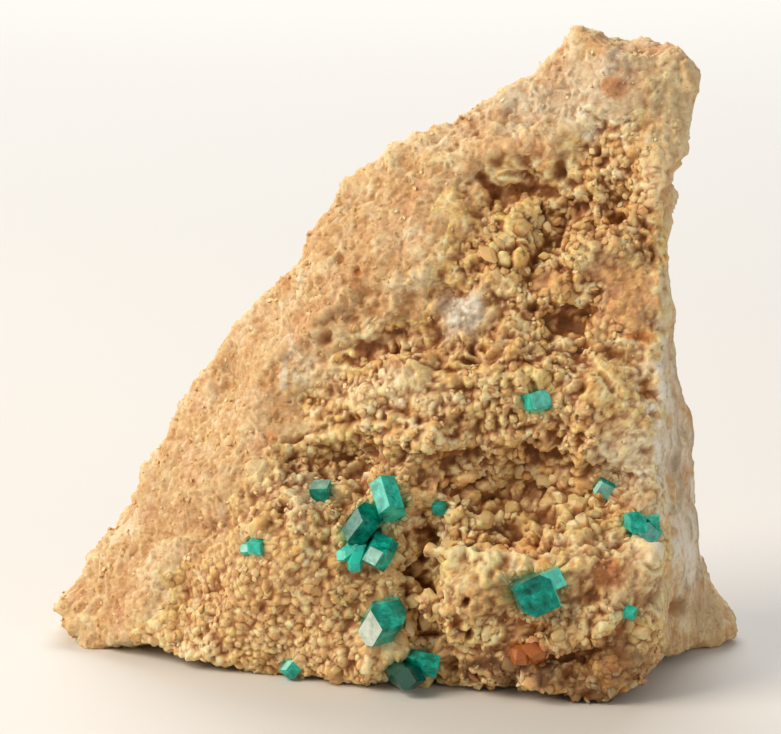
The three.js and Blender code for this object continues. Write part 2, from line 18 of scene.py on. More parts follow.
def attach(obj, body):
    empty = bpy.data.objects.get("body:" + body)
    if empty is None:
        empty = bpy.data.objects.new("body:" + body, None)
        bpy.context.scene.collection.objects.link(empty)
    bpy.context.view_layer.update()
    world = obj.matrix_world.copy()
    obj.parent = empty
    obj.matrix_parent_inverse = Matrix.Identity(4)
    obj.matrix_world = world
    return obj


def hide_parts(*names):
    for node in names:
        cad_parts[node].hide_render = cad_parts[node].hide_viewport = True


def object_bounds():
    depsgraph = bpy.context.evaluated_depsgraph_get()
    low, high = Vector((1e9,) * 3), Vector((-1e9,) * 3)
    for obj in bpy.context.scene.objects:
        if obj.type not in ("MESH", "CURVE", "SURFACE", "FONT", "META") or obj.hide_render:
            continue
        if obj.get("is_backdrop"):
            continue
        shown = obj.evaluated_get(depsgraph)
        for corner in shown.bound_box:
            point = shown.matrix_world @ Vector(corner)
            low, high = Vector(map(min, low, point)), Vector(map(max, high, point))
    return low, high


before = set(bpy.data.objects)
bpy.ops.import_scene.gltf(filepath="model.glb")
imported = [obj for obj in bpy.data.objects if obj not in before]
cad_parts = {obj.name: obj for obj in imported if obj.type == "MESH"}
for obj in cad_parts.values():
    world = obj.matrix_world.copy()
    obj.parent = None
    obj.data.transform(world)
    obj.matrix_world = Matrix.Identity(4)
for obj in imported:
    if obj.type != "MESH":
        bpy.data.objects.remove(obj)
CAD_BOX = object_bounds()
MATRIX = "matrix"
CRYSTALS = sorted(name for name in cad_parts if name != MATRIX)
print("pieces in the frame:", len(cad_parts), "crystal pieces:", len(CRYSTALS))

# %% [markdown]
# ## Units, colours and soft steps
# Blender works in metres and in linear light. A stone like this is easier to describe in millimetres
# and in the hex colours of a colour picker, so two small tools turn one into the other. A soft step
# is the third tool: most edges between two kinds of stone are gradual.

# %% Small tools
MM = 0.001  # one millimetre in metres


def linear(code):
    """An sRGB hex colour as the linear red, green and blue that Blender's sockets take."""
    parts = [int(code[place : place + 2], 16) / 255 for place in (1, 3, 5)]
    return [part / 12.92 if part <= 0.04045 else ((part + 0.055) / 1.055) ** 2.4 for part in parts]


def rise(value, start, end):
    """0 before start, 1 past end, and a smooth step between them."""
    t = np.clip((value - start) / (end - start), 0, 1)
    return t * t * (3 - 2 * t)


# %% [markdown]
# ## The camera
# The photograph is a close view from a little above, with a long lens, so the sides of the stone
# hardly converge. The camera is set first, because many marks on the stone are placed where the
# photograph shows them: a ray from the camera through that spot finds the stone behind it.

# %% Camera at the photograph's angle
PHOTO_WIDE, PHOTO_HIGH = 781, 734  # pixels
LENS, SENSOR = 180, 36  # mm
LOOKS_DOWN = math.radians(12)
CAMERA_AWAY = 346.09  # mm from the point that it looks at
AIM = Vector((-0.7464, 2.8713, 26.108))  # mm
LOOK = Vector((0, math.cos(LOOKS_DOWN), -math.sin(LOOKS_DOWN)))
RIGHT = Vector((1, 0, 0))
UP = Vector((0, math.sin(LOOKS_DOWN), math.cos(LOOKS_DOWN)))
EYE = AIM - LOOK * CAMERA_AWAY
PIXEL = SENSOR / LENS / PHOTO_WIDE  # size of a pixel at a distance of 1
PIXEL_MM = PIXEL * CAMERA_AWAY

camera = bpy.data.objects.new("photo_camera", bpy.data.cameras.new("photo_camera"))
camera.data.lens, camera.data.sensor_width = LENS, SENSOR
camera.data.clip_start, camera.data.clip_end = 0.01, 20
camera.location = EYE * MM
camera.rotation_euler = (math.pi / 2 - LOOKS_DOWN, 0, 0)
bpy.context.scene.collection.objects.link(camera)
bpy.context.scene.camera = camera
print("one pixel is", round(PIXEL_MM, 4), "mm on the stone")


# %% From the photograph to the stone and back
def sight(across, down):
    """The direction from the camera through a pixel of the photograph."""
    aside = RIGHT * ((across - PHOTO_WIDE / 2) * PIXEL)
    above = UP * ((PHOTO_HIGH / 2 - down) * PIXEL)
    return (LOOK + aside + above).normalized()


def pixel_of(points):
    """The pixel, across and down, at which each point in mm shows."""
    away = points - np.array(EYE)
    depth = away @ np.array(LOOK) * PIXEL
    across = PHOTO_WIDE / 2 + away @ np.array(RIGHT) / depth
    down = PHOTO_HIGH / 2 - away @ np.array(UP) / depth
    return across, down


# %% [markdown]
# ## Noise for natural shapes
# Broken stone is uneven at every size. Blender's own noise functions give two useful kinds of
# unevenness: soft waves, and rounded swellings with sharp valleys between them.


# %% Waves and billows
def waves(points, size, layers=3, shift=0.0):
    """Soft waves about this long in mm, mostly between -0.6 and 0.6."""
    places = (points / size + shift).tolist()
    return np.array([noise.fractal(place, 0.8, 2.0, layers) for place in places])


def billows(points, size, layers=3, shift=0.0):
    """Rounded swellings about this long in mm, with sharp valleys between them, 0 to about 1."""
    places = (points / size + shift).tolist()
    return np.array([noise.turbulence(place, layers, True) for place in places])


# %% Read and write a mesh's points
def points_of(mesh):
    """The mesh's corners, in mm."""
    flat = np.empty(len(mesh.vertices) * 3, np.float32)
    mesh.vertices.foreach_get("co", flat)
    return flat.reshape(-1, 3).astype(float) / MM


def normals_of(mesh):
    """The outward direction at each corner."""
    flat = np.empty(len(mesh.vertices) * 3, np.float32)
    mesh.vertex_normals.foreach_get("vector", flat)
    return flat.reshape(-1, 3).astype(float)


def set_points(mesh, points):
    """Moves the mesh's corners to these places, in mm."""
    mesh.vertices.foreach_set("co", (points * MM).astype(np.float32).ravel())
    mesh.update()


def tree_of(mesh):
    """A search tree of the mesh, in mm."""
    faces = [tuple(face.vertices) for face in mesh.polygons]
    return BVHTree.FromPolygons(points_of(mesh).tolist(), faces)


# %% [markdown]
# ## From the CAD wedge to fine stone
# The CAD wedge has flat facets about 2 mm across. The real stone has none, and it has a few points
# that are thinner than such a facet: the blunt knob on the crest and the barbs of the left tip. Small
# lumps are added for these. The copy is then remeshed into even squares and smoothed, which fuses the
# lumps and takes the facets away.

# %% Remesh a copy of the wedge
STONE_CELL = 0.6  # mm, the size of the squares
SMOOTHINGS = 3


def applied(piece):
    """Turns a piece's modifiers into plain mesh."""
    depsgraph = bpy.context.evaluated_depsgraph_get()
    piece.data = bpy.data.meshes.new_from_object(piece.evaluated_get(depsgraph))
    piece.modifiers.clear()


def linked(name, mesh):
    """A new object in the scene that shows this mesh."""
    piece = bpy.data.objects.new(name, mesh)
    bpy.context.scene.collection.objects.link(piece)
    return piece


LUMPS_ADDED = [  # on the stone at across, down; moved to across, down; radii in mm across, deep, high; lean
    (578, 58, 580, 43, 0.95, 0.9, 1.0, 0), (582, 60, 582, 51, 1.3, 1.1, 1.0, 0),
    (82, 604, 69, 602, 1.9, 1.2, 0.7, -28), (86, 625, 77, 623, 1.3, 1.1, 0.65, -25),
    (96, 636, 93, 645, 1.0, 1.0, 1.1, 15), (640, 66, 642, 57, 2.5, 1.5, 0.8, 4),
    (672, 70, 674, 60, 1.6, 1.4, 0.9, 12), (552, 78, 553, 66, 1.7, 1.3, 0.8, -24),
    (728, 640, 731, 633, 0.9, 1.0, 1.0, 0),
]
cad_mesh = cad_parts[MATRIX].data
cad_tree = tree_of(cad_mesh)
wedge = bmesh.new()
wedge.from_mesh(cad_mesh)
for on_across, on_down, at_across, at_down, wide, deep, high, lean in LUMPS_ADDED:
    hit = cad_tree.ray_cast(EYE, sight(on_across, on_down))[0]
    across_by, down_by = (at_across - on_across) * PIXEL_MM, (at_down - on_down) * PIXEL_MM
    middle = hit + LOOK * deep + RIGHT * across_by - UP * down_by
    turn = Matrix.Rotation(math.radians(lean), 4, "Y")
    place = Matrix.Translation(middle * MM) @ turn @ Matrix.Diagonal((wide * MM, deep * MM, high * MM, 1))
    bmesh.ops.create_icosphere(wedge, subdivisions=2, radius=1, matrix=place)
fine_mesh = bpy.data.meshes.new("limestone_wedge")
wedge.to_mesh(fine_mesh)
wedge.free()
stone = linked("limestone_wedge", fine_mesh)
squares = stone.modifiers.new("squares", "REMESH")
squares.mode = "VOXEL"
squares.voxel_size = STONE_CELL * MM
soften = stone.modifiers.new("soften", "SMOOTH")
soften.factor, soften.iterations = 0.5, SMOOTHINGS
applied(stone)
print("stone:", len(stone.data.vertices), "vertices", len(stone.data.polygons), "squares")


# %% [markdown]
# ## Where each kind of surface is
# Four kinds of surface meet on this stone. The front is crusted with calcite. The long left slope is
# weathered limestone. The narrow right side is a clean, pale break, and the back and underside are
# rough, sandy breaks. The crust is told from the rest by what the camera sees first, so that it also
# lines the hollows and stops a few millimetres behind the front.

# %% Tell the kinds of surface apart
core = points_of(stone.data)
core_outward = normals_of(stone.data)
stone_tree = tree_of(stone.data)


def behind_front(points):
    """How far each point lies behind the first stone that the camera sees there, in mm."""
    far = []
    for point in points.tolist():
        way = Vector(point) - EYE
        hit = stone_tree.ray_cast(EYE, way.normalized())
        far.append(way.length - hit[3] if hit[3] else 0.0)
    return np.array(far)


SLOPE_NORMAL = np.array([0.813, -0.583])  # across the line where the left slope meets the front
SLOPE_FOOT = -24.0  # mm, where that line starts


def shares(points, outs):
    """The shares of crust, left slope and right side at each point, and of the front, 0 to 1."""
    ragged = waves(points, 5.0, 3, 3.1) * 3.0
    past_slope = (points[:, [0, 2]] - [SLOPE_FOOT, 0]) @ SLOPE_NORMAL + ragged
    front = 1 - rise(behind_front(points), 2.5, 6.0)
    crusted = rise(past_slope, -1.5, 3.0) * (1 - rise(points[:, 0] + ragged * 0.3, 22.0, 23.6)) * front
    crusted *= 1 - rise(points[:, 2] + ragged, 45.0, 50.0)
    left = rise(-outs[:, 0] * 0.8 + outs[:, 2] * 0.45 + front * 0.5, 0.25, 0.7) * (1 - crusted)
    right = rise(outs[:, 0], 0.55, 0.85) * (1 - crusted) * (1 - rise(points[:, 2], 34, 40))
    return crusted, left, right, front


core_crust = shares(core, core_outward)[0]
print("share of crust on the remeshed stone:", round(float(core_crust.mean()), 3))

# %% [markdown]
# ## The crust is a shell
# On the front the limestone carries a crust of calcite, about a millimetre thick. It is a piece of
# its own here: the skin of the stone where the crust lies, closed underneath and at the rim, with
# squares fine enough for knobs under a millimetre across. The limestone keeps coarse squares where
# the crust hides it and underneath. The rest of its front gets the same fine squares, and its back
# gets middling ones.

# %% Divide the front into finer squares
FINER = 2  # cuts in each side of a square, which make 0.2 mm out of 0.6 mm
CRUST_RIM, CRUST_COVERS = 0.04, 0.6  # share of crust where its shell starts, and where it hides the stone
FACES_FRONT = 0.05  # how much a square must turn to the camera to be divided
FACES_FLOOR = -0.5  # squares of the back that face down more than this stay coarse
SHELL_DEPTH = 1.0  # mm from the skin to the shell's underside


def divide(shape, faces, first_soft):
    """Divides these faces, then softens every corner from first_soft on."""
    edges = list({edge for face in faces for edge in face.edges})
    bmesh.ops.subdivide_edges(shape, edges=edges, cuts=FINER, use_grid_fill=True)
    shape.verts.ensure_lookup_table()
    for _ in range(3):
        bmesh.ops.smooth_vert(
            shape, verts=shape.verts[first_soft:], factor=0.5,
            use_axis_x=True, use_axis_y=True, use_axis_z=True
        )


def crust_at(corners):
    """The least and the most crust at a face's corners."""
    values = core_crust[list(corners)]
    return values.min(), values.max()


crusted_faces = [
    list(face.vertices) for face in stone.data.polygons if crust_at(face.vertices)[1] > CRUST_RIM
]
under_from = np.unique(np.concatenate(crusted_faces))  # the stone's corners that the shell starts from
new_number = {int(corner): number for number, corner in enumerate(under_from)}
skin_mesh = bpy.data.meshes.new("calcite_crust")
skin_faces = [[new_number[corner] for corner in face] for face in crusted_faces]
skin_mesh.from_pydata((core[under_from] * MM).tolist(), [], skin_faces)
skin = bmesh.new()
skin.from_mesh(skin_mesh)
lower_faces = skin.faces[:]
extruded = bmesh.ops.extrude_face_region(skin, geom=lower_faces, use_keep_orig=True)["geom"]
bmesh.ops.reverse_faces(skin, faces=lower_faces)
skin.verts.ensure_lookup_table()
for corner, inward in zip(skin.verts[: len(under_from)], core_outward[under_from] * -SHELL_DEPTH * MM):
    corner.co += Vector(inward)
divide(skin, [item for item in extruded if isinstance(item, bmesh.types.BMFace)], len(under_from))
skin.to_mesh(skin_mesh)
skin.free()
crust_piece = linked("calcite_crust", skin_mesh)

shape = bmesh.new()
shape.from_mesh(stone.data)
shape.normal_update()
bare_front = []
for face in shape.faces:
    if -face.normal.dot(LOOK) > FACES_FRONT and face.normal.x < 0.75:
        if crust_at([corner.index for corner in face.verts])[0] < CRUST_COVERS:
            bare_front.append(face)
front_corners = {corner for face in bare_front for corner in face.verts}
back_edges = set()
for face in shape.faces:
    turned_away = -face.normal.dot(LOOK) <= FACES_FRONT and face.normal.z > FACES_FLOOR
    if turned_away and crust_at([corner.index for corner in face.verts])[1] < CRUST_RIM:
        if front_corners.isdisjoint(face.verts):
            back_edges.update(face.edges)
bmesh.ops.subdivide_edges(shape, edges=list(back_edges), cuts=1, use_grid_fill=True)
divide(shape, bare_front, 0)
shape.to_mesh(stone.data)
shape.free()
for piece in (stone, crust_piece):
    piece.data.update()
    triangles = sum(len(face.vertices) - 2 for face in piece.data.polygons)
    print(piece.name, len(piece.data.vertices), "corners", triangles, "triangles")

# %% [markdown]
# ## One list of points for both
# From here on the limestone and the crust are shaped and coloured together, so that the same relief
# runs through both. Their points stand in one list, the limestone's first. The directions in which
# the relief rises are averaged over a millimetre, because a lump of calcite grows straight outward.

# %% Read the points of both pieces
stone_count = len(stone.data.vertices)
places = np.concatenate([points_of(stone.data), points_of(crust_piece.data)])
outward = np.concatenate([normals_of(stone.data), normals_of(crust_piece.data)])
on_shell = np.arange(len(places)) >= stone_count
underside = on_shell & (np.arange(len(places)) < stone_count + len(under_from))
places[underside] = core[under_from]
outward[underside] = core_outward[under_from]
across, down = pixel_of(places)
crust, faces_left, pale_side, on_front = shares(places, outward)
shell_top = on_shell & ~underside


# %% Average over neighbours
def edge_ends(mesh):
    """The two corners of each edge."""
    ends = np.empty(len(mesh.edges) * 2, np.int32)
    mesh.edges.foreach_get("vertices", ends)
    return ends.reshape(-1, 2)


edges = np.concatenate([edge_ends(stone.data), edge_ends(crust_piece.data) + stone_count])
neighbours = np.bincount(edges.ravel(), minlength=len(places)).astype(float)[:, None]


def averaged(values, times):
    """Each point's value, averaged with its neighbours' this many times."""
    for _ in range(times):
        total = np.zeros_like(values)
        for column in range(values.shape[1]):
            total[:, column] = np.bincount(edges[:, 0], values[edges[:, 1], column], len(values))
            total[:, column] += np.bincount(edges[:, 1], values[edges[:, 0], column], len(values))
        values = (values + total / neighbours) / 2
    return values


outward = averaged(outward, 24)
outward /= np.linalg.norm(outward, axis=1)[:, None]  # soft directions, so that lumps don't splay into spikes


# %% [markdown]
# ## Marks placed from the photograph
# Stains, dusty patches and pits are written down as ellipses in the photograph: the middle, across
# and down, then the half width and half height, all in pixels. Each is thrown onto the stone along
# the camera's sight, and fades past its rim. It only reaches stone near the spot that it hits.

# %% Throw a mark onto the stone
EDGE_WANDER = 0.3  # how far a mark's rim wanders, as a share of its size
MARK_DEEP = 1.8  # mm that a mark reaches beyond its own size
wander_one = waves(places, 2.2, 3, 11.0)
wander_two = waves(places, 2.2, 3, 23.0)


def mark(across_at, down_at, half_wide, half_high, soft=0.45, wander=EDGE_WANDER):
    """How strongly each point of the stone belongs to an ellipse of the photograph, 0 to 1."""
    strong = np.zeros(len(places))
    middle = stone_tree.ray_cast(EYE, sight(across_at, down_at))[0]
    if middle is None:
        return strong
    reach = max(half_wide, half_high)
    some = np.linalg.norm(places - np.array(middle), axis=1) < reach * PIXEL_MM * 2.2 + MARK_DEEP
    u = (across[some] - across_at + wander_one[some] * wander * reach) / half_wide
    v = (down[some] - down_at + wander_two[some] * wander * reach) / half_high
    strong[some] = 1 - rise(np.hypot(u, v), 1 - soft, 1 + soft)
    return strong


# %% [markdown]
# ## The crystals' sockets
# In the CAD each crystal sits in a socket with a small gap all round. On the real stone there is no
# gap: the calcite grew tight against the crystals. The fine stone is free to close it, so each point
# that faces a crystal across the gap is drawn to just inside the crystal's face. The stone near a
# crystal is also kept from swelling over it.

# %% Distance from the stone to the nearest crystal
crystal_points, crystal_faces = [], []
for name in CRYSTALS:
    first = len(crystal_points)
    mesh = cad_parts[name].data
    crystal_points += points_of(mesh).tolist()
    crystal_faces += [tuple(first + corner for corner in face.vertices) for face in mesh.polygons]
crystal_tree = BVHTree.FromPolygons(crystal_points, crystal_faces)


def to_crystal(points, farthest):
    """Each point's distance to a crystal (negative inside), the nearest spot, and its outward face."""
    gap = np.full(len(points), farthest)
    spot, out = points.copy(), np.zeros_like(points)
    for number, point in enumerate(points.tolist()):
        near, normal, _, far = crystal_tree.find_nearest(point, farthest)
        if near is not None:
            inside = (Vector(point) - near).dot(normal) < 0
            gap[number] = -far if inside else far
            spot[number], out[number] = near, normal
    return gap, spot, out


SOCKET_REACH = 3.0  # mm
crystal_gap = to_crystal(places, SOCKET_REACH)[0]
calm = rise(crystal_gap, 0.2, 1.2)  # 0 beside a crystal, 1 away from it
print("points beside a crystal:", int((crystal_gap < 1).sum()))

# %% [markdown]
# ## Beds of calcite
# Sugary calcite isn't the same all over. The lower left is an even druse of small knobs, the pocket
# on the right has blocky honey-coloured crystals, and the top is fine like sand. The size of the
# blocks at each point comes from a few large marks. Where there is no mark in the crust, they are
# fine.

# %% Size of the calcite blocks at each point
GRAIN_BEDS = [  # across, down, half width, half height, block size in mm
    (300, 590, 170, 95, 0.85), (250, 515, 90, 40, 0.65), (345, 470, 70, 40, 0.75), (480, 615, 60, 62, 0.75),
    (480, 572, 44, 22, 0.45), (520, 500, 90, 44, 1.3), (560, 430, 70, 26, 0.9), (440, 430, 90, 34, 0.75),
    (370, 330, 74, 44, 0.95), (520, 235, 90, 46, 1.25), (570, 315, 60, 44, 1.1), (460, 320, 46, 36, 0.4),
    (520, 385, 60, 26, 1.0), (430, 200, 80, 50, 0.5), (620, 190, 50, 50, 0.9), (590, 650, 66, 52, 0.95),
    (500, 670, 60, 24, 1.0), (628, 456, 34, 36, 0.5), (632, 572, 30, 24, 0.5), (626, 292, 30, 34, 0.45),
    (415, 590, 22, 70, 1.1), (380, 405, 50, 18, 0.5), (350, 390, 50, 24, 0.8),
]
grain_size = np.full(len(places), 0.45)
for across_at, down_at, half_wide, half_high, size in GRAIN_BEDS:
    grain_size += (size - grain_size) * mark(across_at, down_at, half_wide, half_high, 0.3)
coarse = rise(grain_size, 0.95, 1.3)
middling = rise(grain_size, 0.5, 0.75) * (1 - coarse)
fine = 1 - coarse - middling
print("share of coarse blocks:", round(float(coarse.mean()), 3))
print("share of middling blocks:", round(float(middling.mean()), 3))

# %% [markdown]
# ## Packed blocks
# Calcite grows in rhombs, which look like slightly slanted cubes. In a druse they are packed side by
# side and turned every way, so what shows of each is a corner or a ridge, with a crevice all round.
# On this stone they are worn round. That is drawn here as cells, each a dome with the flats of a
# cube, turned at random, worn into it. Every cell also gets a chance value, which makes some blocks
# paler than others.


# %% Draw packed blocks
def chance(middles, key):
    """A value from 0 to 1 that is the same for all points of a cell."""
    return (np.sin(middles @ [12.99, 78.23, 37.72] + key) * 43758.5) % 1


def unit(vectors):
    """The same directions, one unit long."""
    return vectors / np.linalg.norm(vectors, axis=1)[:, None]


def blocks(points, size, shift=0.0):
    """Packed blocks of this size in mm: height from 0 to 1, crevice (1 in it), and chance."""
    scaled = points / size + shift
    found = [noise.voronoi(place) for place in scaled.tolist()]
    middles = np.array([spots[0] for _, spots in found])
    first, second = np.array([far[:2] for far, _ in found]).T
    one = unit(np.column_stack([chance(middles, key) - 0.5 for key in (1, 2, 3)]))
    two = unit(np.cross(one, np.column_stack([chance(middles, key) - 0.5 for key in (4, 5, 6)])))
    away = scaled - middles
    to_faces = np.max([np.abs((away * axis).sum(1)) for axis in (one, two, np.cross(one, two))], axis=0)
    crevice = 1 - rise(second - first, 0.0, 0.2)
    dome = np.sqrt(np.clip(1 - (first / 0.8) ** 2, 0, 1))
    flats = np.clip((0.62 - to_faces) * 2.6, 0, 1)
    return np.minimum(dome, flats * 0.6 + dome * 0.4) * (1 - 0.6 * crevice), crevice, chance(middles, 7)


# %% [markdown]
# ## The stone's relief
# The crust swells in lumps of many sizes, from 6 mm down to the single blocks, with sharp crevices
# between them. The left slope is weathered: low waves, soft steps where beds end, and a sandy skin.
# The right side is a clean break with fine upright streaks, and the back is sandy with shallow chips.
# Each is a height in mm along the outward direction, weighed by where that kind of surface is. The
# large swells and hollows that the photograph shows are added as wide, soft marks.

# %% Raise and lower the surface
warped = places + np.column_stack([wander_one, wander_two, wander_one - wander_two]) * 0.9
jittered = places + np.column_stack([wander_two, wander_one, wander_two]) * 0.15
coarse_height, coarse_crevice, coarse_chance = blocks(jittered, 1.7, 1.0)
middle_height, middle_crevice, middle_chance = blocks(jittered, 0.85, 2.0)
fine_height, fine_crevice, fine_chance = blocks(jittered, 0.5, 3.0)
knobs = coarse * (coarse_height * 0.55 + middle_height * 0.28 + fine_height * 0.1)
knobs += (
    middling * (middle_height * 0.36 + fine_height * 0.12)
    + fine * (fine_height * 0.18 + middle_height * 0.14)
)
block_chance = np.where(coarse > 0.5, coarse_chance, middle_chance) * 0.7 + fine_chance * 0.3

EVEN_BEDS = [  # across, down, half width, half height, and how much flatter than the rest
    (290, 590, 150, 80, 0.6), (630, 460, 40, 60, 0.6), (626, 300, 36, 44, 0.75), (657, 175, 22, 44, 0.8),
    (525, 150, 80, 36, 0.85), (490, 556, 78, 16, 0.85), (490, 600, 60, 36, 0.6), (600, 665, 60, 34, 0.55),
    (380, 385, 60, 22, 0.5), (610, 575, 40, 24, 0.5), (463, 312, 30, 26, 0.75), (480, 660, 50, 20, 0.4),
    (545, 500, 70, 30, 0.35), (430, 210, 60, 60, 0.4), (620, 390, 50, 40, 0.4),
]
even_bed = np.zeros(len(places))
for across_at, down_at, half_wide, half_high, flatter in EVEN_BEDS:
    even_bed = np.maximum(even_bed, mark(across_at, down_at, half_wide, half_high, 0.4) * flatter)
crust_relief = (billows(warped, 6.0, 2, 2.0) - 0.34) * 2.0 + (billows(warped, 2.4, 2, 5.0) - 0.36) * 0.8
crust_relief *= 1 - even_bed
crust_relief -= rise(waves(places, 2.9, 2, 31.0), 0.2, 0.55) * 0.5 * (1 - even_bed)
holes = rise(waves(jittered, 1.4, 2, 53.0), 0.3, 0.55) * (1 - even_bed)
crust_relief -= holes * 0.25
crust_relief += knobs * (1 - 0.4 * even_bed) - 0.25
crust_relief *= 1 - 0.8 * mark(526, 651, 22, 13, 0.2, 0.0)  # the rust-red block keeps its shape

BED_THICK = 2.2  # mm, between the soft steps of the left slope
bed_place = (places[:, 0] * -0.35 + places[:, 2] * 0.95) / BED_THICK + wander_one * 1.3
bed_step = (bed_place % 1.0) ** 2
slope_relief = (
    waves(places, 4.6, 3, 7.0) * 0.6 + bed_step * 0.26 + (billows(warped, 1.9, 3, 9.0) - 0.4) * 0.34
)
slope_relief += fine_height * 0.1 + middle_height * 0.08 - rise(waves(places, 1.3, 2, 43.0), 0.3, 0.5) * 0.16

upright = places * [1.0, 1.0, 0.22]  # waves that are drawn out upwards
streaks = waves(upright, 0.8, 4, 13.0)
side_relief = streaks * 0.36 + waves(places, 4.0, 2, 15.0) * 0.3 + fine_height * 0.06

back_relief = (billows(warped, 5.5, 3, 17.0) - 0.38) * 1.3 + waves(places, 2.4, 3, 19.0) * 0.45
back_relief += (
    middle_height * 0.2 + fine_height * 0.12 - rise(waves(jittered, 2.0, 3, 61.0), 0.25, 0.45) * 0.45
)

rest_of_stone = np.clip(1 - crust - faces_left - pale_side, 0, 1)
relief = crust * crust_relief + faces_left * slope_relief + pale_side * side_relief
plain_relief = waves(places, 3.4, 4, 47.0) * 0.5 + fine_height * 0.13 + middle_height * 0.1 - 0.15
plain_relief *= 1 - 0.7 * even_bed
plain_relief *= 1 - 0.8 * mark(580, 36, 15, 14, 0.3, 0.0)  # the smooth knob on the crest
relief += rest_of_stone * (back_relief * (1 - on_front) + plain_relief * on_front)

# %% Swell and press the large forms
SWELLS = [  # across, down, half width, half height, height in mm
    (462, 112, 34, 22, -1.0), (326, 204, 26, 30, -0.6), (256, 304, 30, 30, -1.1), (78, 580, 18, 26, -1.0),
    (678, 182, 9, 28, -0.7), (535, 66, 24, 14, 0.2), (162, 438, 20, 30, -0.5),
    (366, 166, 16, 12, 0.8), (113, 522, 24, 28, 1.3),
    (692, 78, 8, 18, 0.6), (672, 280, 7, 26, 0.6), (687, 428, 7, 28, 0.4), (713, 582, 12, 16, 0.6),
    (560, 150, 80, 22, 0.4), (530, 188, 62, 14, -0.4), (430, 215, 52, 52, 0.7), (372, 326, 62, 30, -0.7),
    (463, 312, 26, 24, 0.5), (400, 366, 40, 12, 0.5), (530, 408, 80, 22, 0.4), (525, 500, 84, 34, -0.7),
    (492, 560, 76, 16, 0.7), (465, 600, 34, 34, 0.6), (424, 600, 13, 80, -1.3), (570, 665, 56, 22, 0.5),
    (628, 300, 30, 40, 0.4), (560, 316, 26, 14, -0.4), (612, 220, 14, 12, -0.4), (655, 170, 16, 34, 0.6),
    (622, 34, 32, 13, -0.8), (600, 100, 50, 30, 0.3), (272, 290, 16, 16, -0.3),
]
SWELL_SOFT, SWELL_WANDER = 0.8, 0.5
for across_at, down_at, half_wide, half_high, high in SWELLS:
    relief += mark(across_at, down_at, half_wide, half_high, SWELL_SOFT, SWELL_WANDER) * high

# %% [markdown]
# ## Ledges and overhangs
# Beds of the limestone end in small ledges, and the crust folds over a few hollows. A ledge is a line
# across the photograph where the stone below stands out; at an overhang the stone above does. Both
# are one step in height that fades over a few millimetres.

# %% Fold the surface along lines
FOLDS = [  # step in mm (stands out below the line, or above it if negative), then the line's points
    (-0.5, [(284, 356), (300, 342), (318, 328), (345, 308), (365, 291), (400, 286), (436, 282)]),
    (-0.5, [(470, 174), (490, 178), (515, 175), (545, 184), (566, 196)]),
    (-0.5, [(566, 196), (590, 208), (606, 205), (625, 212)]),
    (1.2, [(266, 454), (300, 441), (340, 426), (390, 417), (424, 424)]),
    (0.7, [(430, 552), (470, 549), (520, 555), (560, 559), (604, 553)]),
    (1.0, [(426, 368), (455, 371), (500, 366), (540, 372)]),
    (-1.1, [(520, 300), (545, 302), (575, 306)]),
    (0.9, [(318, 372), (350, 362), (390, 364), (420, 368)]),
    (-1.2, [(428, 448), (470, 452), (520, 446), (570, 452), (600, 462)]),
    (0.8, [(160, 545), (200, 532), (240, 524), (270, 512)]),
    (-0.8, [(470, 640), (505, 648), (550, 652), (590, 648)]),
    (0.7, [(500, 120), (540, 128), (590, 120), (620, 128)]),
]
FOLD_NEAR, FOLD_FAR = 9.0, 34.0  # pixels over which a fold fades, on the high side and on the low side
for step, line in FOLDS:
    nearest_line, below = np.full(len(places), 1e9), np.zeros(len(places))
    for (x0, y0), (x1, y1) in zip(line, line[1:]):
        span = np.array([x1 - x0, y1 - y0])
        reach_x, reach_y = across - x0 + wander_two * 9, down - y0 + wander_one * 9
        share = np.clip((reach_x * span[0] + reach_y * span[1]) / (span @ span), 0, 1)
        off_x, off_y = reach_x - span[0] * share, reach_y - span[1] * share
        distance = np.hypot(off_x, off_y)
        side = np.sign(span[0] * off_y - span[1] * off_x)
        below = np.where(distance < nearest_line, side, below)
        nearest_line = np.minimum(nearest_line, distance)
    stands_out = below * np.sign(step) > 0
    fade = np.where(stands_out, np.exp(-nearest_line / FOLD_FAR), -np.exp(-nearest_line / FOLD_NEAR))
    soft_fade = fade * rise(nearest_line, 0, 3)
    relief += soft_fade * abs(step) * 0.5 * on_front * (nearest_line < FOLD_FAR * 3)
relief *= 0.12 + 0.88 * calm

# %% [markdown]
# ## Pits, cracks and ledge edges
# A few hollows catch the eye: orange pits on the slope, the slit under the white patch, deep pockets
# beside the crystals and a dark pit low on the right. Each is a mark that pushes the stone in, by its
# depth in mm. A crack is a row of small marks along a line.

# %% Press the pits and cracks in
PITS = [  # across, down, half width, half height, depth in mm
    (215, 471, 3.5, 7, 0.5), (243, 494, 3, 6, 0.4), (339, 258, 4, 5, 0.5), (358, 272, 4, 5, 0.5),
    (322, 282, 4, 5, 0.35), (346, 300, 4, 5, 0.35), (467, 360, 9, 3.5, 1.3), (378, 308, 13, 7, 0.4),
    (350, 318, 6, 5, 0.4), (395, 318, 5, 4, 0.4), (324, 340, 8, 6, 0.5), (412, 300, 9, 7, 0.4),
    (366, 350, 14, 7, 0.4), (677, 608, 8, 8, 0.8), (616, 220, 10, 6, 0.5), (560, 168, 7, 12, 0.5),
    (555, 318, 14, 5, 0.5), (506, 187, 24, 7, 0.4), (421, 560, 8, 30, 1.0), (414, 630, 8, 20, 0.8),
    (428, 540, 8, 14, 0.8), (560, 658, 18, 6, 0.7), (575, 612, 10, 14, 0.5), (520, 268, 14, 6, 0.6),
    (470, 520, 12, 9, 0.5), (545, 520, 14, 10, 0.6), (597, 235, 9, 8, 0.7), (640, 228, 10, 7, 0.5),
]
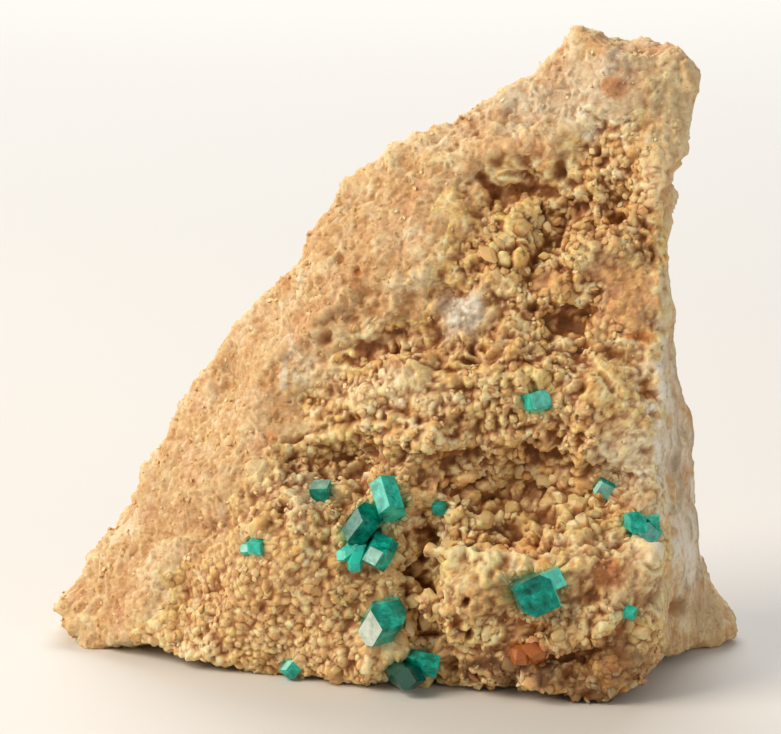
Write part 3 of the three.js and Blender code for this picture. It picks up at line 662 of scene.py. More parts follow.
CRACKS = [  # the ends of straight stretches, across and down
    (270, 455, 282, 448), (282, 448, 286, 441), (286, 441, 303, 436), (486, 545, 520, 553),
    (520, 553, 552, 562), (602, 376, 612, 392), (555, 362, 575, 370), (420, 640, 446, 632),
]
CRACK_DEPTH, CRACK_STEP = 0.4, 3.0  # mm deep; pixels from mark to mark
DEEPEST, HIGHEST = -2.1, 1.9  # mm, so that the crust's shell never folds through itself
pressed = np.zeros(len(places))
for across_at, down_at, half_wide, half_high, deep in PITS:
    pressed = np.maximum(pressed, mark(across_at, down_at, half_wide, half_high) * deep)
for x0, y0, x1, y1 in CRACKS:
    for share in np.arange(0, 1, CRACK_STEP / math.hypot(x1 - x0, y1 - y0)):
        spot = mark(x0 + (x1 - x0) * share, y0 + (y1 - y0) * share, 3.2, 3.2, wander=0.1)
        pressed = np.maximum(pressed, spot * CRACK_DEPTH)
relief -= pressed * calm
relief = np.clip(relief, DEEPEST, HIGHEST)
print("relief from", round(float(relief.min()), 2), "to", round(float(relief.max()), 2), "mm")

# %% [markdown]
# ## Limestone under crust
# Where the crust lies, the limestone is pressed in and the crust stands on top. At its rim the crust
# dives below the limestone, so no edge shows. The shell's underside stays deep in the stone.

# %% Lay the crust over the limestone
CRUST_STANDS, CRUST_DIVES, STONE_SINKS = 0.08, 0.8, 0.6  # mm
shell_up = rise(crust, 0.06, 0.35)
covered = rise(crust, 0.35, CRUST_COVERS)
relief += np.where(shell_top, CRUST_STANDS - CRUST_DIVES * (1 - shell_up), -STONE_SINKS * covered)
relief[underside] -= SHELL_DEPTH - STONE_SINKS * covered[underside]
shows = np.where(on_shell, shell_top & (shell_up > 0.9), covered < 0.1)


def set_both():
    """Moves the corners of the limestone and of the crust to their places."""
    set_points(stone.data, places[:stone_count])
    set_points(crust_piece.data, places[stone_count:])


def normals_of_both():
    """The outward direction at each point of the list."""
    return np.concatenate([normals_of(stone.data), normals_of(crust_piece.data)])


places = places + outward * relief[:, None]
# The wedge's knob is about a millimetre taller than the real one, which is worn blunt. What stands
# above its shoulder is pressed down.
KNOB_SHOULDER = 55.6  # mm above the floor
KNOB_LEFT = 0.4  # share of the height above the shoulder that is left
above_shoulder = np.maximum(places[:, 2] - KNOB_SHOULDER, 0)
places[:, 2] -= above_shoulder * (1 - KNOB_LEFT)
set_both()

# %% Close the sockets round the crystals
INSET = 0.06  # mm, how far the stone reaches into a crystal
outward = normals_of_both()
crystal_gap, nearest, crystal_out = to_crystal(places, SOCKET_REACH)
toward = nearest - places
faces_it = (toward * outward).sum(1) > 0.25 * np.abs(crystal_gap)
closes = (crystal_gap > 0) & (crystal_gap < 0.75) & faces_it & shows
places[closes] = (nearest - crystal_out * INSET)[closes]
FLOOR_ROOM = 0.02  # mm, so that the stone never sinks below its flat feet
places[:, 2] = np.maximum(places[:, 2], FLOOR_ROOM)
set_both()
outward = normals_of_both()
across, down = pixel_of(places)
print("points drawn to a crystal:", int(closes.sum()))


# %% [markdown]
# ## Crevices
# Iron stain gathers where water stays: in the crevices. The same crevice value also gives painted light
# and painted shade: the stone's colour is made paler on exposed tips and darker in the deepest
# crevices. How deep a point lies is the distance from it to a smoothed copy of the surface, at two
# sizes. The copy is made by letting each point move to the middle of its neighbours again and again.

# %% Find the crevices
near_copy = averaged(places, 20)
far_copy = averaged(near_copy, 110)
fine_hollow = ((near_copy - places) * outward).sum(1)
broad_hollow = ((far_copy - places) * outward).sum(1)
hollow = rise(fine_hollow, -0.2, 0.2) * 0.5 + rise(broad_hollow, -0.5, 0.9) * 0.42 + holes * crust * 0.2
hollow += crust * (
    coarse * coarse_crevice * 0.4 + middling * middle_crevice * 0.25 + fine * fine_crevice * 0.08
)
hollow = np.clip(hollow, 0, 1)  # about 0.35 on even ground, less on tips, more in crevices
print("mean crevice value:", round(float(hollow.mean()), 3))

# %% [markdown]
# ## Stains and dusty patches
# The colours of the stone change from place to place: salmon and pink where the limestone is iron
# tinted, white where the calcite is powdery, honey yellow in the pocket, grey where other minerals
# show. Some places are also painted for light and shade: painted shade under the upper ledge, in the
# slit, the clefts, the pocket's gaps and low on the right, and painted light on the ledge tops and on
# the lower-left edge that faces down. Each place has a colour, the ellipses where it lies, and a
# strength.

# %% Paint the places
PAINTED = {
    "#dad5c9": [  # powdery white calcite
        (388, 405, 20, 9, 0.7), (395, 372, 16, 7, 0.5), (641, 370, 10, 12, 0.6), (286, 360, 5, 34, 0.8),
        (372, 345, 10, 7, 0.5), (640, 548, 12, 8, 0.4),
    ],
    "#ada594": [(463, 312, 28, 24, 1.0), (445, 330, 16, 14, 0.8)],  # the same in a bluish grey patch
    "#e2d6be": [  # grey-white, granular
        (628, 456, 36, 38, 0.8), (632, 572, 30, 24, 0.5), (445, 400, 30, 16, 0.5), (560, 105, 80, 34, 0.85),
        (600, 70, 50, 20, 0.8), (640, 520, 26, 40, 0.4), (470, 175, 26, 14, 0.4), (660, 600, 14, 22, 0.5),
        (300, 490, 36, 28, 0.6), (380, 390, 50, 14, 0.5), (500, 110, 30, 20, 0.4),
    ],
    "#f9e6bb": [  # bare cream limestone and calcite, and painted light: the ledge tops and the lower-left edge that faces down are painted paler
        (215, 440, 60, 50, 0.2), (480, 556, 50, 11, 0.9), (380, 388, 60, 20, 0.6),
        (160, 600, 40, 30, 0.35), (225, 646, 56, 14, 0.9), (300, 655, 40, 12, 0.4),
    ],
    "#b07850": [(626, 298, 32, 38, 0.8)],  # salmon patch on the right
    "#d39c7a": [  # pink and salmon limestone
        (626, 298, 32, 38, 0.3), (650, 130, 14, 16, 0.6), (672, 120, 10, 12, 0.4), (650, 205, 18, 16, 0.4),
        (681, 53, 14, 10, 0.6), (652, 46, 28, 8, 0.5),
        (520, 148, 44, 16, 0.7), (147, 516, 7, 12, 0.7), (178, 516, 9, 8, 0.5), (345, 205, 12, 14, 0.4),
        (318, 240, 10, 18, 0.3), (600, 575, 30, 22, 0.4),
    ],
    "#c9681f": [  # strong orange
        (616, 88, 11, 12, 0.45), (638, 335, 16, 6, 0.9), (605, 574, 18, 16, 0.85), (645, 345, 10, 6, 0.5),
    ],
    "#d9813a": [  # orange stain
        (518, 548, 32, 7, 0.7), (487, 541, 12, 7, 0.5),
        (270, 436, 6, 5, 0.5), (540, 560, 26, 5, 0.5), (585, 540, 10, 8, 0.5),
        (450, 120, 16, 8, 0.3), (480, 355, 12, 9, 0.35), (560, 285, 16, 10, 0.35), (520, 620, 9, 12, 0.4),
    ],
    "#a86634": [  # brown-orange patches and stained pits
        (614, 86, 12, 10, 0.75), (632, 74, 9, 8, 0.4), (505, 187, 24, 9, 0.6), (616, 218, 14, 12, 0.6),
        (378, 310, 12, 8, 0.6), (324, 340, 10, 8, 0.6), (370, 352, 20, 8, 0.6), (215, 471, 4, 8, 0.7),
        (243, 494, 4, 7, 0.5), (339, 258, 5, 6, 0.6), (358, 272, 5, 6, 0.7), (300, 400, 16, 12, 0.35),
        (594, 600, 14, 16, 0.4), (430, 540, 12, 18, 0.5), (560, 318, 18, 12, 0.5), (490, 505, 20, 12, 0.3),
        (520, 665, 20, 10, 0.4), (595, 680, 26, 12, 0.3), (240, 520, 16, 8, 0.3), (665, 150, 10, 20, 0.3),
    ],
    "#e0b35e": [  # honey yellow
        (255, 655, 22, 8, 0.6), (430, 165, 20, 14, 0.3), (500, 235, 60, 22, 0.4), (440, 265, 40, 22, 0.3),
        (520, 390, 36, 14, 0.4), (500, 500, 50, 24, 0.35), (640, 630, 20, 20, 0.4), (600, 690, 30, 12, 0.45),
        (120, 575, 16, 10, 0.3), (400, 300, 20, 14, 0.3), (560, 640, 30, 20, 0.3),
    ],
    "#543008": [  # brown calcite low on the right and in the clefts, painted extra dark there as painted shade
        (510, 668, 66, 16, 0.95), (592, 688, 40, 24, 0.9), (615, 662, 44, 30, 0.8), (424, 570, 13, 50, 0.6),
        (540, 640, 50, 14, 0.55), (640, 600, 20, 26, 0.5), (606, 575, 20, 20, 0.4), (440, 660, 24, 18, 0.6),
        (470, 505, 24, 24, 0.3), (372, 330, 60, 26, 0.3), (450, 462, 40, 12, 0.4), (560, 462, 50, 10, 0.3),
        (420, 520, 16, 24, 0.4), (520, 440, 60, 10, 0.3),
    ],
    "#b8996f": [  # buff slope
        (190, 495, 56, 40, 0.6), (100, 600, 36, 46, 0.3), (236, 550, 60, 34, 0.4), (335, 230, 30, 40, 0.45),
    ],
    "#cda168": [  # buff druse
        (300, 600, 140, 60, 0.5), (466, 610, 34, 30, 0.4), (520, 235, 80, 40, 0.4), (525, 500, 70, 30, 0.35),
        (520, 400, 80, 26, 0.3),
    ],
    "#efc69c": [(656, 178, 18, 30, 0.9), (560, 130, 60, 10, 0.3)],  # pale salmon nose
    "#f2dda6": [  # pale yellow lumps of calcite
        (514, 473, 20, 12, 0.75), (494, 517, 32, 20, 0.75), (578, 515, 24, 22, 0.75), (470, 560, 32, 13, 0.8),
        (545, 500, 24, 16, 0.5), (520, 228, 30, 18, 0.8), (506, 243, 10, 12, 0.7), (566, 250, 22, 12, 0.5),
        (545, 375, 26, 10, 0.5), (480, 385, 24, 10, 0.4), (570, 636, 40, 10, 0.5), (486, 632, 26, 14, 0.5),
        (641, 636, 14, 14, 0.5), (448, 548, 12, 14, 0.5),
    ],
    "#9a5f2a": [  # orange-brown stain in the gaps between them and over the pocket, with painted shade there
        (520, 485, 66, 36, 0.4), (520, 610, 60, 30, 0.42), (560, 640, 60, 20, 0.25),
        (537, 446, 16, 12, 0.6), (419, 535, 18, 14, 0.6), (572, 594, 22, 14, 0.5), (596, 583, 16, 10, 0.5),
        (612, 668, 20, 18, 0.4), (545, 270, 40, 8, 0.4), (600, 232, 16, 10, 0.5), (470, 440, 30, 8, 0.4),
        (575, 402, 18, 12, 0.3), (345, 455, 26, 12, 0.4), (385, 450, 20, 8, 0.3),
    ],
    "#eae4d6": [(470, 304, 13, 9, 0.7), (455, 318, 8, 6, 0.5), (612, 60, 13, 12, 0.7)],  # the whitest spots
    "#b26436": [(526, 652, 21, 12, 1.0)],  # the rust-red block
    "#8d8468": [  # grey and olive
        (561, 165, 10, 16, 0.7), (677, 608, 10, 10, 0.85), (226, 367, 6, 5, 0.8), (622, 62, 6, 5, 0.6),
        (655, 265, 9, 24, 0.45), (668, 640, 12, 12, 0.4), (430, 340, 10, 7, 0.5),
    ],
    "#f2eadb": [  # pale grey right side
        (680, 430, 22, 110, 0.9), (690, 545, 20, 60, 0.9),
    ],
    "#c9bb98": [(672, 100, 22, 44, 0.8), (640, 60, 20, 12, 0.3)],  # grey-green top
    "#d8c09a": [(712, 610, 26, 44, 0.7)],  # tan spur
    "#c8a470": [(152, 650, 46, 10, 0.4)],  # tan underside
    "#7a4a20": [(508, 190, 36, 11, 0.8)],  # brown stain with painted shade under the upper ledge
    "#5a3517": [(467, 360, 8, 3, 1.0), (418, 640, 12, 14, 0.5), (598, 236, 9, 8, 0.4)],  # painted shade: dark brown in the slit and two recesses
}
painted = np.tile(np.array(linear("#dcb684")), (len(places), 1))
strength = np.zeros(len(places))
for code, ellipses in PAINTED.items():
    for across_at, down_at, half_wide, half_high, strong in ellipses:
        share = mark(across_at, down_at, half_wide, half_high) * strong
        painted += (np.array(linear(code)) - painted) * share[:, None]
        strength = np.maximum(strength, share)
side_grey = (pale_side * on_front * rise(streaks, -0.05, 0.3) * 0.8)[:, None]
painted += (np.array(linear("#94866a")) - painted) * side_grey
print("painted share of the stone:", round(float((strength > 0.2).mean()), 3))

# %% [markdown]
# ## A grain of calcite
# Calcite breaks and grows in rhombs: a slanted box whose six faces are alike. A grain of the druse is
# a small rhomb with worn edges, partly sunk in its neighbours. A few shapes are made once, each with
# bevelled edges and slightly moved corners, and then used thousands of times with other turns and
# sizes. All grains of a bed become one mesh.

# %% Make the grain shapes
draw = np.random.default_rng(41)  # every random choice comes from here, so each run is the same
RHOMB_LEAN = math.radians(63.7)  # of each edge from the middle axis, which gives calcite's 101.9 degrees
SHAPES = 8


def rhomb(bevel, shake):
    """A rhomb one unit long on each edge, its blunt corner up, with worn edges: corners and faces."""
    sides = [
        np.array([
            math.sin(RHOMB_LEAN) * math.cos(turn),
            math.sin(RHOMB_LEAN) * math.sin(turn), math.cos(RHOMB_LEAN),
        ])
        for turn in (0, 2 * math.pi / 3, 4 * math.pi / 3)
    ]
    shape = bmesh.new()
    for a in (-0.5, 0.5):
        for b in (-0.5, 0.5):
            for c in (-0.5, 0.5):
                shape.verts.new(sides[0] * a + sides[1] * b + sides[2] * c)
    bmesh.ops.convex_hull(shape, input=shape.verts[:])
    bmesh.ops.dissolve_limit(shape, angle_limit=0.05, verts=shape.verts[:], edges=shape.edges[:])
    if bevel:
        bmesh.ops.bevel(shape, geom=shape.edges[:], offset=bevel, segments=1, affect="EDGES")
    bmesh.ops.recalc_face_normals(shape, faces=shape.faces[:])
    shape.verts.index_update()
    corners = np.array([list(corner.co) for corner in shape.verts])
    faces = [[corner.index for corner in face.verts] for face in shape.faces]
    shape.free()
    return corners + draw.normal(0, shake, corners.shape), faces


WORN = [rhomb(draw.uniform(0.16, 0.3), 0.045) for _ in range(SHAPES)]
SHARP = [rhomb(0, 0.1) for _ in range(SHAPES)]
print("a worn grain has", len(WORN[0][1]), "faces, a sharp crumb", len(SHARP[0][1]))


# %% Choose where grains grow
def spaced(wanted, sizes, crowding):
    """Of the wanted points, in order, those that no earlier one is too near to."""
    cell = float(sizes.max()) * crowding
    kept, grid = [], {}
    for number in wanted:
        point, size = places[number], sizes[number] * crowding
        home = tuple((point // cell).astype(int))
        close = False
        for dx in (-1, 0, 1):
            for dy in (-1, 0, 1):
                for dz in (-1, 0, 1):
                    for other in grid.get((home[0] + dx, home[1] + dy, home[2] + dz), ()):
                        away = places[other] - point
                        limit = (size + sizes[other] * crowding) / 2
                        if away @ away < limit * limit:
                            close = True
        if not close:
            kept.append(number)
            grid.setdefault(home, []).append(number)
    return np.array(kept)


def turned(outs, tilt):
    """For each outward direction, a random turn that points a grain's axis about that way."""
    axes = outs + draw.normal(0, tilt, outs.shape)
    axes /= np.linalg.norm(axes, axis=1)[:, None]
    help_axis = draw.normal(0, 1, outs.shape)
    sides = np.cross(axes, help_axis)
    sides /= np.linalg.norm(sides, axis=1)[:, None]
    return np.stack([sides, np.cross(axes, sides), axes], axis=2)


# %% [markdown]
# ## Growing the druse
# The grains are set on points of the stone. They keep a distance that depends on their size, so they
# crowd each other without hiding the crevices, where few grow. No grain sits in a crystal, but small
# ones press against the crystals' feet, as they do on the real specimen.

# %% Grow the grains of a bed
MOST_TRIANGLES = 190_000  # in one mesh


def grown(name, chosen, sizes, kinds, tilt=0.45, lift=0.12, stretch=0.16):
    """One mesh of grains at these points of the stone, with the colour and height of each corner."""
    all_points, all_faces, heights, colours, luck = [], [], [], [], []
    turns = turned(outward[chosen], tilt)
    scales = np.clip(draw.normal(1, stretch, (len(chosen), 3)), 0.55, 1.5)
    shapes = draw.integers(0, SHAPES, len(chosen))
    first = 0
    for number, point in enumerate(chosen):
        corners, faces = kinds[shapes[number]]
        size = sizes[point]
        local = (corners * scales[number] * size) @ turns[number].T
        all_points.append(places[point] + outward[point] * size * lift + local)
        all_faces += [[first + corner for corner in face] for face in faces]
        heights.append((local @ outward[point]) / size + lift)
        colours.append(np.tile(np.append(painted[point], strength[point]), (len(corners), 1)))
        luck.append(np.full(len(corners), draw.random()))
        first += len(corners)
    mesh = bpy.data.meshes.new(name)
    corners = np.concatenate(all_points)
    corners[:, 2] = np.maximum(corners[:, 2], 0)
    mesh.from_pydata((corners * MM).tolist(), [], all_faces)
    mesh.attributes.new("height", "FLOAT", "POINT").data.foreach_set("value", np.concatenate(heights))
    mesh.attributes.new("luck", "FLOAT", "POINT").data.foreach_set("value", np.concatenate(luck))
    tint = mesh.attributes.new("tint", "FLOAT_COLOR", "POINT")
    tint.data.foreach_set("color", np.concatenate(colours).ravel())
    print(name, len(chosen), "grains", len(mesh.polygons), "faces")
    return linked(name, mesh)


crystal_gap = to_crystal(places, SOCKET_REACH)[0]


def grains(name, likely, sizes, crowding, kinds, faces_each, **how):
    """Grows one or more meshes of grains, where likely (0 to 1) is high, split from left to right."""
    order = np.flatnonzero((draw.random(len(places)) < likely) & shows & (crystal_gap > sizes * 0.45))
    order = order[np.argsort(draw.random(len(order)))]
    chosen = spaced(order, sizes, crowding)
    chosen = chosen[np.argsort(places[chosen, 0])]
    parts = math.ceil(len(chosen) * faces_each / MOST_TRIANGLES)
    shares = np.array_split(chosen, parts)
    return [grown(f"{name}_{part + 1}", share, sizes, kinds, **how) for part, share in enumerate(shares)]


WORN_FACES, SHARP_FACES = 44, 12
open_stone = 1 - 0.85 * rise(hollow, 0.5, 0.85)
uneven = np.exp(draw.normal(0, 0.22, len(places)))
druse_pieces = grains(
    "calcite_druse", crust * (middling * 0.03 + coarse * 0.01) * open_stone,
    grain_size * 0.6 * uneven, 0.8, WORN,
    WORN_FACES, tilt=0.7, lift=-0.16,
)
CRUMB = 0.2  # mm
crumb_size = CRUMB * np.exp(draw.normal(0, 0.3, len(places)))
crumb_pieces = grains(
    "calcite_crumbs", np.clip(crust * 0.008 + faces_left * 0.012, 0, 1) * open_stone, crumb_size,
    0.8, SHARP, SHARP_FACES, tilt=0.9, lift=0.0,
)

# %% Grains at the crystals' feet
COLLAR = 0.36  # mm
collar_size = COLLAR * np.exp(draw.normal(0, 0.25, len(places)))
beside = np.flatnonzero((crystal_gap > 0.02) & (crystal_gap < 0.6) & (on_front > 0.5) & shows)
beside = beside[np.argsort(draw.random(len(beside)))]
collar_points = spaced(beside, collar_size, 0.7)
collar_piece = grown("calcite_at_crystal_feet", collar_points, collar_size, WORN, 0.5, 0.05)

# %% [markdown]
# ## Blocks that stand out
# A few calcite blocks are large enough to be told one by one: the rust-red one low on the right, a
# pale rhomb under the upper ledge, and yellow ones in the pocket. Each is one worn rhomb, half sunk
# in the crust at its place in the photograph.

# %% Set the single blocks
SINGLE_BLOCKS = [  # across, down, size in mm
    (520, 652, 1.9), (535, 653, 1.7), (506, 243, 1.6), (523, 228, 1.3), (540, 222, 1.1), (488, 232, 1.1),
    (578, 503, 1.5), (592, 515, 1.3), (560, 497, 1.2), (545, 480, 1.4), (519, 470, 1.5), (500, 484, 1.2),
    (486, 520, 1.4), (512, 508, 1.2), (598, 500, 1.1), (574, 526, 1.3), (448, 548, 1.2), (414, 600, 1.2),
    (428, 622, 1.2), (486, 632, 1.3), (560, 634, 1.4), (640, 634, 1.2), (470, 645, 1.2), (586, 640, 1.3),
]


def nearest_point(across_at, down_at):
    """The number of the shown point that the camera sees nearest to this place of the photograph."""
    middle = np.array(stone_tree.ray_cast(EYE, sight(across_at, down_at))[0])
    off = np.hypot(across - across_at, down - down_at) * PIXEL_MM
    off = off + 0.3 * np.linalg.norm(places - middle, axis=1)
    return int(np.argmin(np.where(shows, off, 1e9)))


single_size = np.zeros(len(places))
single_points = [nearest_point(across_at, down_at) for across_at, down_at, _ in SINGLE_BLOCKS]
single_size[single_points] = [size for _, _, size in SINGLE_BLOCKS]
RUST_RED = 2  # so many of them, from the first on
for block_points, hue, share in (
    (single_points[:RUST_RED], "#b4682a", 1.0),  # rust red
    (single_points[RUST_RED:], "#e6c888", 0.6),  # yellow
):
    painted[block_points], strength[block_points] = linear(hue), share
single_piece = grown("calcite_single_blocks", single_points, single_size, WORN, 0.35, -0.12, 0.12)

# %% [markdown]
# ## The dioptase crystals
# Each is a short six-sided prism that ends in three slanted faces. The faces are flat and glassy,
# and the edges are sharp but not knife sharp: a narrow bevel catches a thread of light. Each piece is
# a copy of its CAD node with the split corners joined and the flat faces made whole again, so that
# the bevel follows only the real edges.

# %% Bevel the crystals
CRYSTAL_BEVEL = 0.045  # mm
SAME_CORNER = 1e-3  # mm
CRYSTAL_TONES_AND_SHADE = [  # middle of a crystal in the photograph, across and down, and how light it looks, 0 to 1: painted light and shade, faces painted lighter as painted highlights (as at 553, 579) and for thin crystals that light passes through, and the one in shade at (403, 676) painted darker
    (538, 399, 0.7), (321, 489, 0.45), (391, 494, 0.75), (360, 526, 0.2), (382, 553, 0.5), (347, 559, 0.8),
    (440, 510, 0.35), (257, 546, 0.7), (385, 622, 0.45), (424, 660, 0.5), (403, 676, -0.25), (290, 672, 0.6),
    (532, 600, 0.3), (553, 579, 0.8), (605, 488, 0.5), (643, 530, 0.6), (629, 613, 0.7),
]
FACETS_WITH_PAINTED_REFLECTION = [  # middle of a facet, across and down, and how pale it is, 0 to 1: a painted reflection, the facet's green mixed toward pale grey-white
    (370, 633, 1.0), (373, 556, 0.3), (288, 664, 0.15), (320, 484, 0.4), (605, 491, 0.3),
    (352, 525, 0.1), (380, 495, 0.1),
]
FACET_NEAR = 3  # pixels


def crystal_piece(node):
    """A bevelled copy of a crystal node, which stands for it."""
    shape = bmesh.new()
    shape.from_mesh(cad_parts[node].data)
    bmesh.ops.remove_doubles(shape, verts=shape.verts[:], dist=SAME_CORNER * MM)
    flat = math.radians(1)
    bmesh.ops.dissolve_limit(shape, angle_limit=flat, verts=shape.verts[:], edges=shape.edges[:])
    # tone: painted light and shade of each face, from the nearest entry of the crystal table
    tone, pale = shape.faces.layers.float.new("tone"), shape.faces.layers.float.new("pale")
    for face in shape.faces:
        seen_at = np.concatenate(pixel_of(np.array([face.calc_center_median()]) / MM))
        face[tone] = min((math.dist(seen_at, (x, y)), light) for x, y, light in CRYSTAL_TONES_AND_SHADE)[1]
        # pale: the facets that get a painted reflection
        if face.normal.dot(LOOK) < 0:
            near = [much for x, y, much in FACETS_WITH_PAINTED_REFLECTION if math.dist(seen_at, (x, y)) < FACET_NEAR]
            face[pale] = max(near or [0])
    bmesh.ops.bevel(
        shape, geom=shape.edges[:], offset=CRYSTAL_BEVEL * MM, segments=2, profile=0.6,
        affect="EDGES", clamp_overlap=True
    )
    bmesh.ops.triangulate(shape, faces=shape.faces[:])
    bmesh.ops.recalc_face_normals(shape, faces=shape.faces[:])
    mesh = bpy.data.meshes.new(node + "_crystal")
    shape.to_mesh(mesh)
    shape.free()
    return linked(node + "_crystal", mesh)


crystal_pieces = {node: crystal_piece(node) for node in CRYSTALS}
print("crystal faces:", sum(len(piece.data.polygons) for piece in crystal_pieces.values()))


# %% [markdown]
# ## A tool for materials
# Blender's materials are networks of nodes. One small function adds a node with its settings and
# links, so each material below reads as a list of what goes into what.


# %% Add a node
def add_node(tree, kind, settings=None, values=None, links=None, stops=None):
    """One node of a material: its settings, its plain input values, its links, and its ramp's stops."""
    node = tree.nodes.new(kind)
    for name, setting in (settings or {}).items():
        setattr(node, name, setting)
    for name, value in (values or {}).items():
        node.inputs[name].default_value = value
    for name, source in (links or {}).items():
        tree.links.new(source, node.inputs[name])
    for number, (place, code) in enumerate(stops or []):
        elements = node.color_ramp.elements
        stop = elements[number] if number < len(elements) else elements.new(place)
        stop.position, stop.color = place, linear(code) + [1]
    return node


def new_material(name):
    """An empty material, its node tree and its output."""
    material = bpy.data.materials.new(name)
    material.use_nodes = True
    material.node_tree.nodes.clear()
    output = material.node_tree.nodes.new("ShaderNodeOutputMaterial")
    return material, material.node_tree, output


PER_METRE = 1000  # a pattern's scale is this over its size in mm

# %% [markdown]
# ## Weathered limestone
# Buff limestone is matt, fine grained and a little powdery. Its colour drifts between cream, buff and
# tan over several millimetres, with specks under half a millimetre. Iron stain turns the crevices
# orange brown, and the deepest crevices are painted darker still, as painted shade, while exposed
# tips are painted paler, as painted light. It hardly shines, so the roughness is high. Grain finer
# than 0.2 mm can't show at this distance, so the bump pattern stops there.

# %% Stone materials
def rough_stone(name, colours, source, mottles, stains_with_light_and_shade, roughness, glow):
    """Matt stone: its colours by patch or by block, mottles, grit, iron stain and painted shade in the
    crevices, and painted light on exposed tips.
    """
    material, tree, output = new_material(name)
    where = add_node(tree, "ShaderNodeTexCoord").outputs["Object"]
    drift = add_node(
        tree, "ShaderNodeTexNoise", values={"Scale": PER_METRE / 4.0, "Detail": 6.0, "Roughness": 0.65},
        links={"Vector": where},
    )
    chances = add_node(tree, "ShaderNodeAttribute", {"attribute_name": "luck"})
    picked = add_node(
        tree, "ShaderNodeMix", {"data_type": "FLOAT"}, {0: source},
        {2: drift.outputs["Fac"], 3: chances.outputs["Fac"]}
    )
    colour = add_node(tree, "ShaderNodeValToRGB", links={"Fac": picked.outputs[0]}, stops=colours)
    tint = add_node(tree, "ShaderNodeAttribute", {"attribute_name": "tint"})
    patched = add_node(
        tree, "ShaderNodeMixRGB",
        links={
            "Fac": tint.outputs["Alpha"],
            "Color1": colour.outputs["Color"],
            "Color2": tint.outputs["Color"],
        },
    )
    for size, code, start, end, most, blend in mottles:
        spread = add_node(
            tree, "ShaderNodeTexNoise", values={"Scale": PER_METRE / size, "Detail": 5.0, "Roughness": 0.7},
            links={"Vector": where},
        )
        mottle_share = add_node(
            tree, "ShaderNodeMapRange", {"clamp": True}, {"From Min": start, "From Max": end, "To Max": most},
            {"Value": spread.outputs["Fac"]},
        )
        patched = add_node(
            tree, "ShaderNodeMixRGB", {"blend_type": blend}, {"Color2": linear(code) + [1]},
            {"Fac": mottle_share.outputs["Result"], "Color1": patched.outputs["Color"]},
        )
    grit = add_node(
        tree, "ShaderNodeTexNoise", values={"Scale": PER_METRE / 0.5, "Detail": 4.0, "Roughness": 0.7},
        links={"Vector": where},
    )
    grit_shade = add_node(
        tree, "ShaderNodeValToRGB", links={"Fac": grit.outputs["Fac"]},
        stops=[(0.3, "#b89c78"), (0.45, "#eee4d4"), (0.65, "#ffffff")],
    )
    gritty = add_node(
        tree, "ShaderNodeMixRGB", {"blend_type": "MULTIPLY"}, {"Fac": 0.75},
        {"Color1": patched.outputs["Color"], "Color2": grit_shade.outputs["Color"]},
    )
    hollow_value = add_node(tree, "ShaderNodeAttribute", {"attribute_name": "hollow"})
    ragged = add_node(
        tree, "ShaderNodeMath", {"operation": "MULTIPLY_ADD"}, {1: 0.5},
        {0: grit.outputs["Fac"], 2: hollow_value.outputs["Fac"]},
    )
    # By the crevice value: exposed tips are painted paler, as painted light; crevices get orange-brown iron
    # stain; the deepest crevices are painted darkest brown, as painted shade.
    for code, start, end, most, blend in stains_with_light_and_shade:
        stain_light_and_shade_share = add_node(
            tree, "ShaderNodeMapRange", {"clamp": True}, {"From Min": start, "From Max": end, "To Max": most},
            {"Value": ragged.outputs[0]},
        )
        gritty = add_node(
            tree, "ShaderNodeMixRGB", {"blend_type": blend}, {"Color2": linear(code) + [1]},
            {"Fac": stain_light_and_shade_share.outputs["Result"], "Color1": gritty.outputs["Color"]},
        )
    bump = add_node(
        tree, "ShaderNodeBump", values={"Strength": 0.6, "Distance": 0.25 * MM},
        links={"Height": grit.outputs["Fac"]}
    )
    surface = add_node(
        tree, "ShaderNodeBsdfPrincipled",
        values={
            "Roughness": roughness, "IOR": 1.49, "Specular IOR Level": 0.35,
            "Subsurface Weight": glow, "Subsurface Radius": (1.0, 0.62, 0.35), "Subsurface Scale": 0.45 * MM,
        },
        links={"Base Color": gritty.outputs["Color"], "Normal": bump.outputs["Normal"]},
    )
    tree.links.new(surface.outputs["BSDF"], output.inputs["Surface"])
    return material


limestone = rough_stone(
    "weathered_buff_limestone", [(0.36, "#c99f70"), (0.5, "#dbbb90"), (0.64, "#e8d5b4")], 0.15,
    [
        (2.6, "#bd7a42", 0.53, 0.7, 0.45, "MIX"), (3.4, "#d6a78c", 0.5, 0.66, 0.5, "MIX"),
        (1.7, "#ffffff", 0.52, 0.68, 0.3, "OVERLAY"),
    ],
    # tips painted paler (painted light), orange-brown iron stain in crevices, darkest brown in the deepest
    # ones (painted shade)
    [
        ("#ffffff", 0.6, 0.4, 0.25, "OVERLAY"), ("#b37a3e", 0.72, 1.2, 0.8, "MIX"),
        ("#5c3a1c", 1.1, 1.45, 0.8, "MIX"),
    ],
    0.85, 0.2,
)
crust_finish = rough_stone(
    "sugary_calcite_crust", [(0.2, "#c79a60"), (0.5, "#dbba88"), (0.8, "#ecd8b2")], 0.6,
    [
        (2.6, "#96592a", 0.52, 0.7, 0.5, "MIX"), (3.6, "#deb468", 0.5, 0.64, 0.45, "MIX"),
        (1.1, "#ffffff", 0.53, 0.66, 0.4, "OVERLAY"),
    ],
    # tips painted paler (painted light), orange-brown iron stain in crevices, darkest brown in the deepest
    # ones (painted shade)
    [
        ("#ffffff", 0.62, 0.4, 0.42, "OVERLAY"), ("#96551c", 0.66, 1.05, 0.85, "MIX"),
        ("#4a2810", 1.08, 1.4, 0.8, "MIX"),
    ],
    0.5, 0.4,
)

# %% [markdown]
# ## Sugary calcite
# Small calcite crystals are milky and a little glassy. Their tips are cream to white, and they get
# more yellow and brown towards the foot, where they grow out of stained crevices. Calcite's index of
# refraction is about 1.6. The grains are cloudy inside, which keeps them from being see-through; only
# the yellow blocks that stand out let some light in.


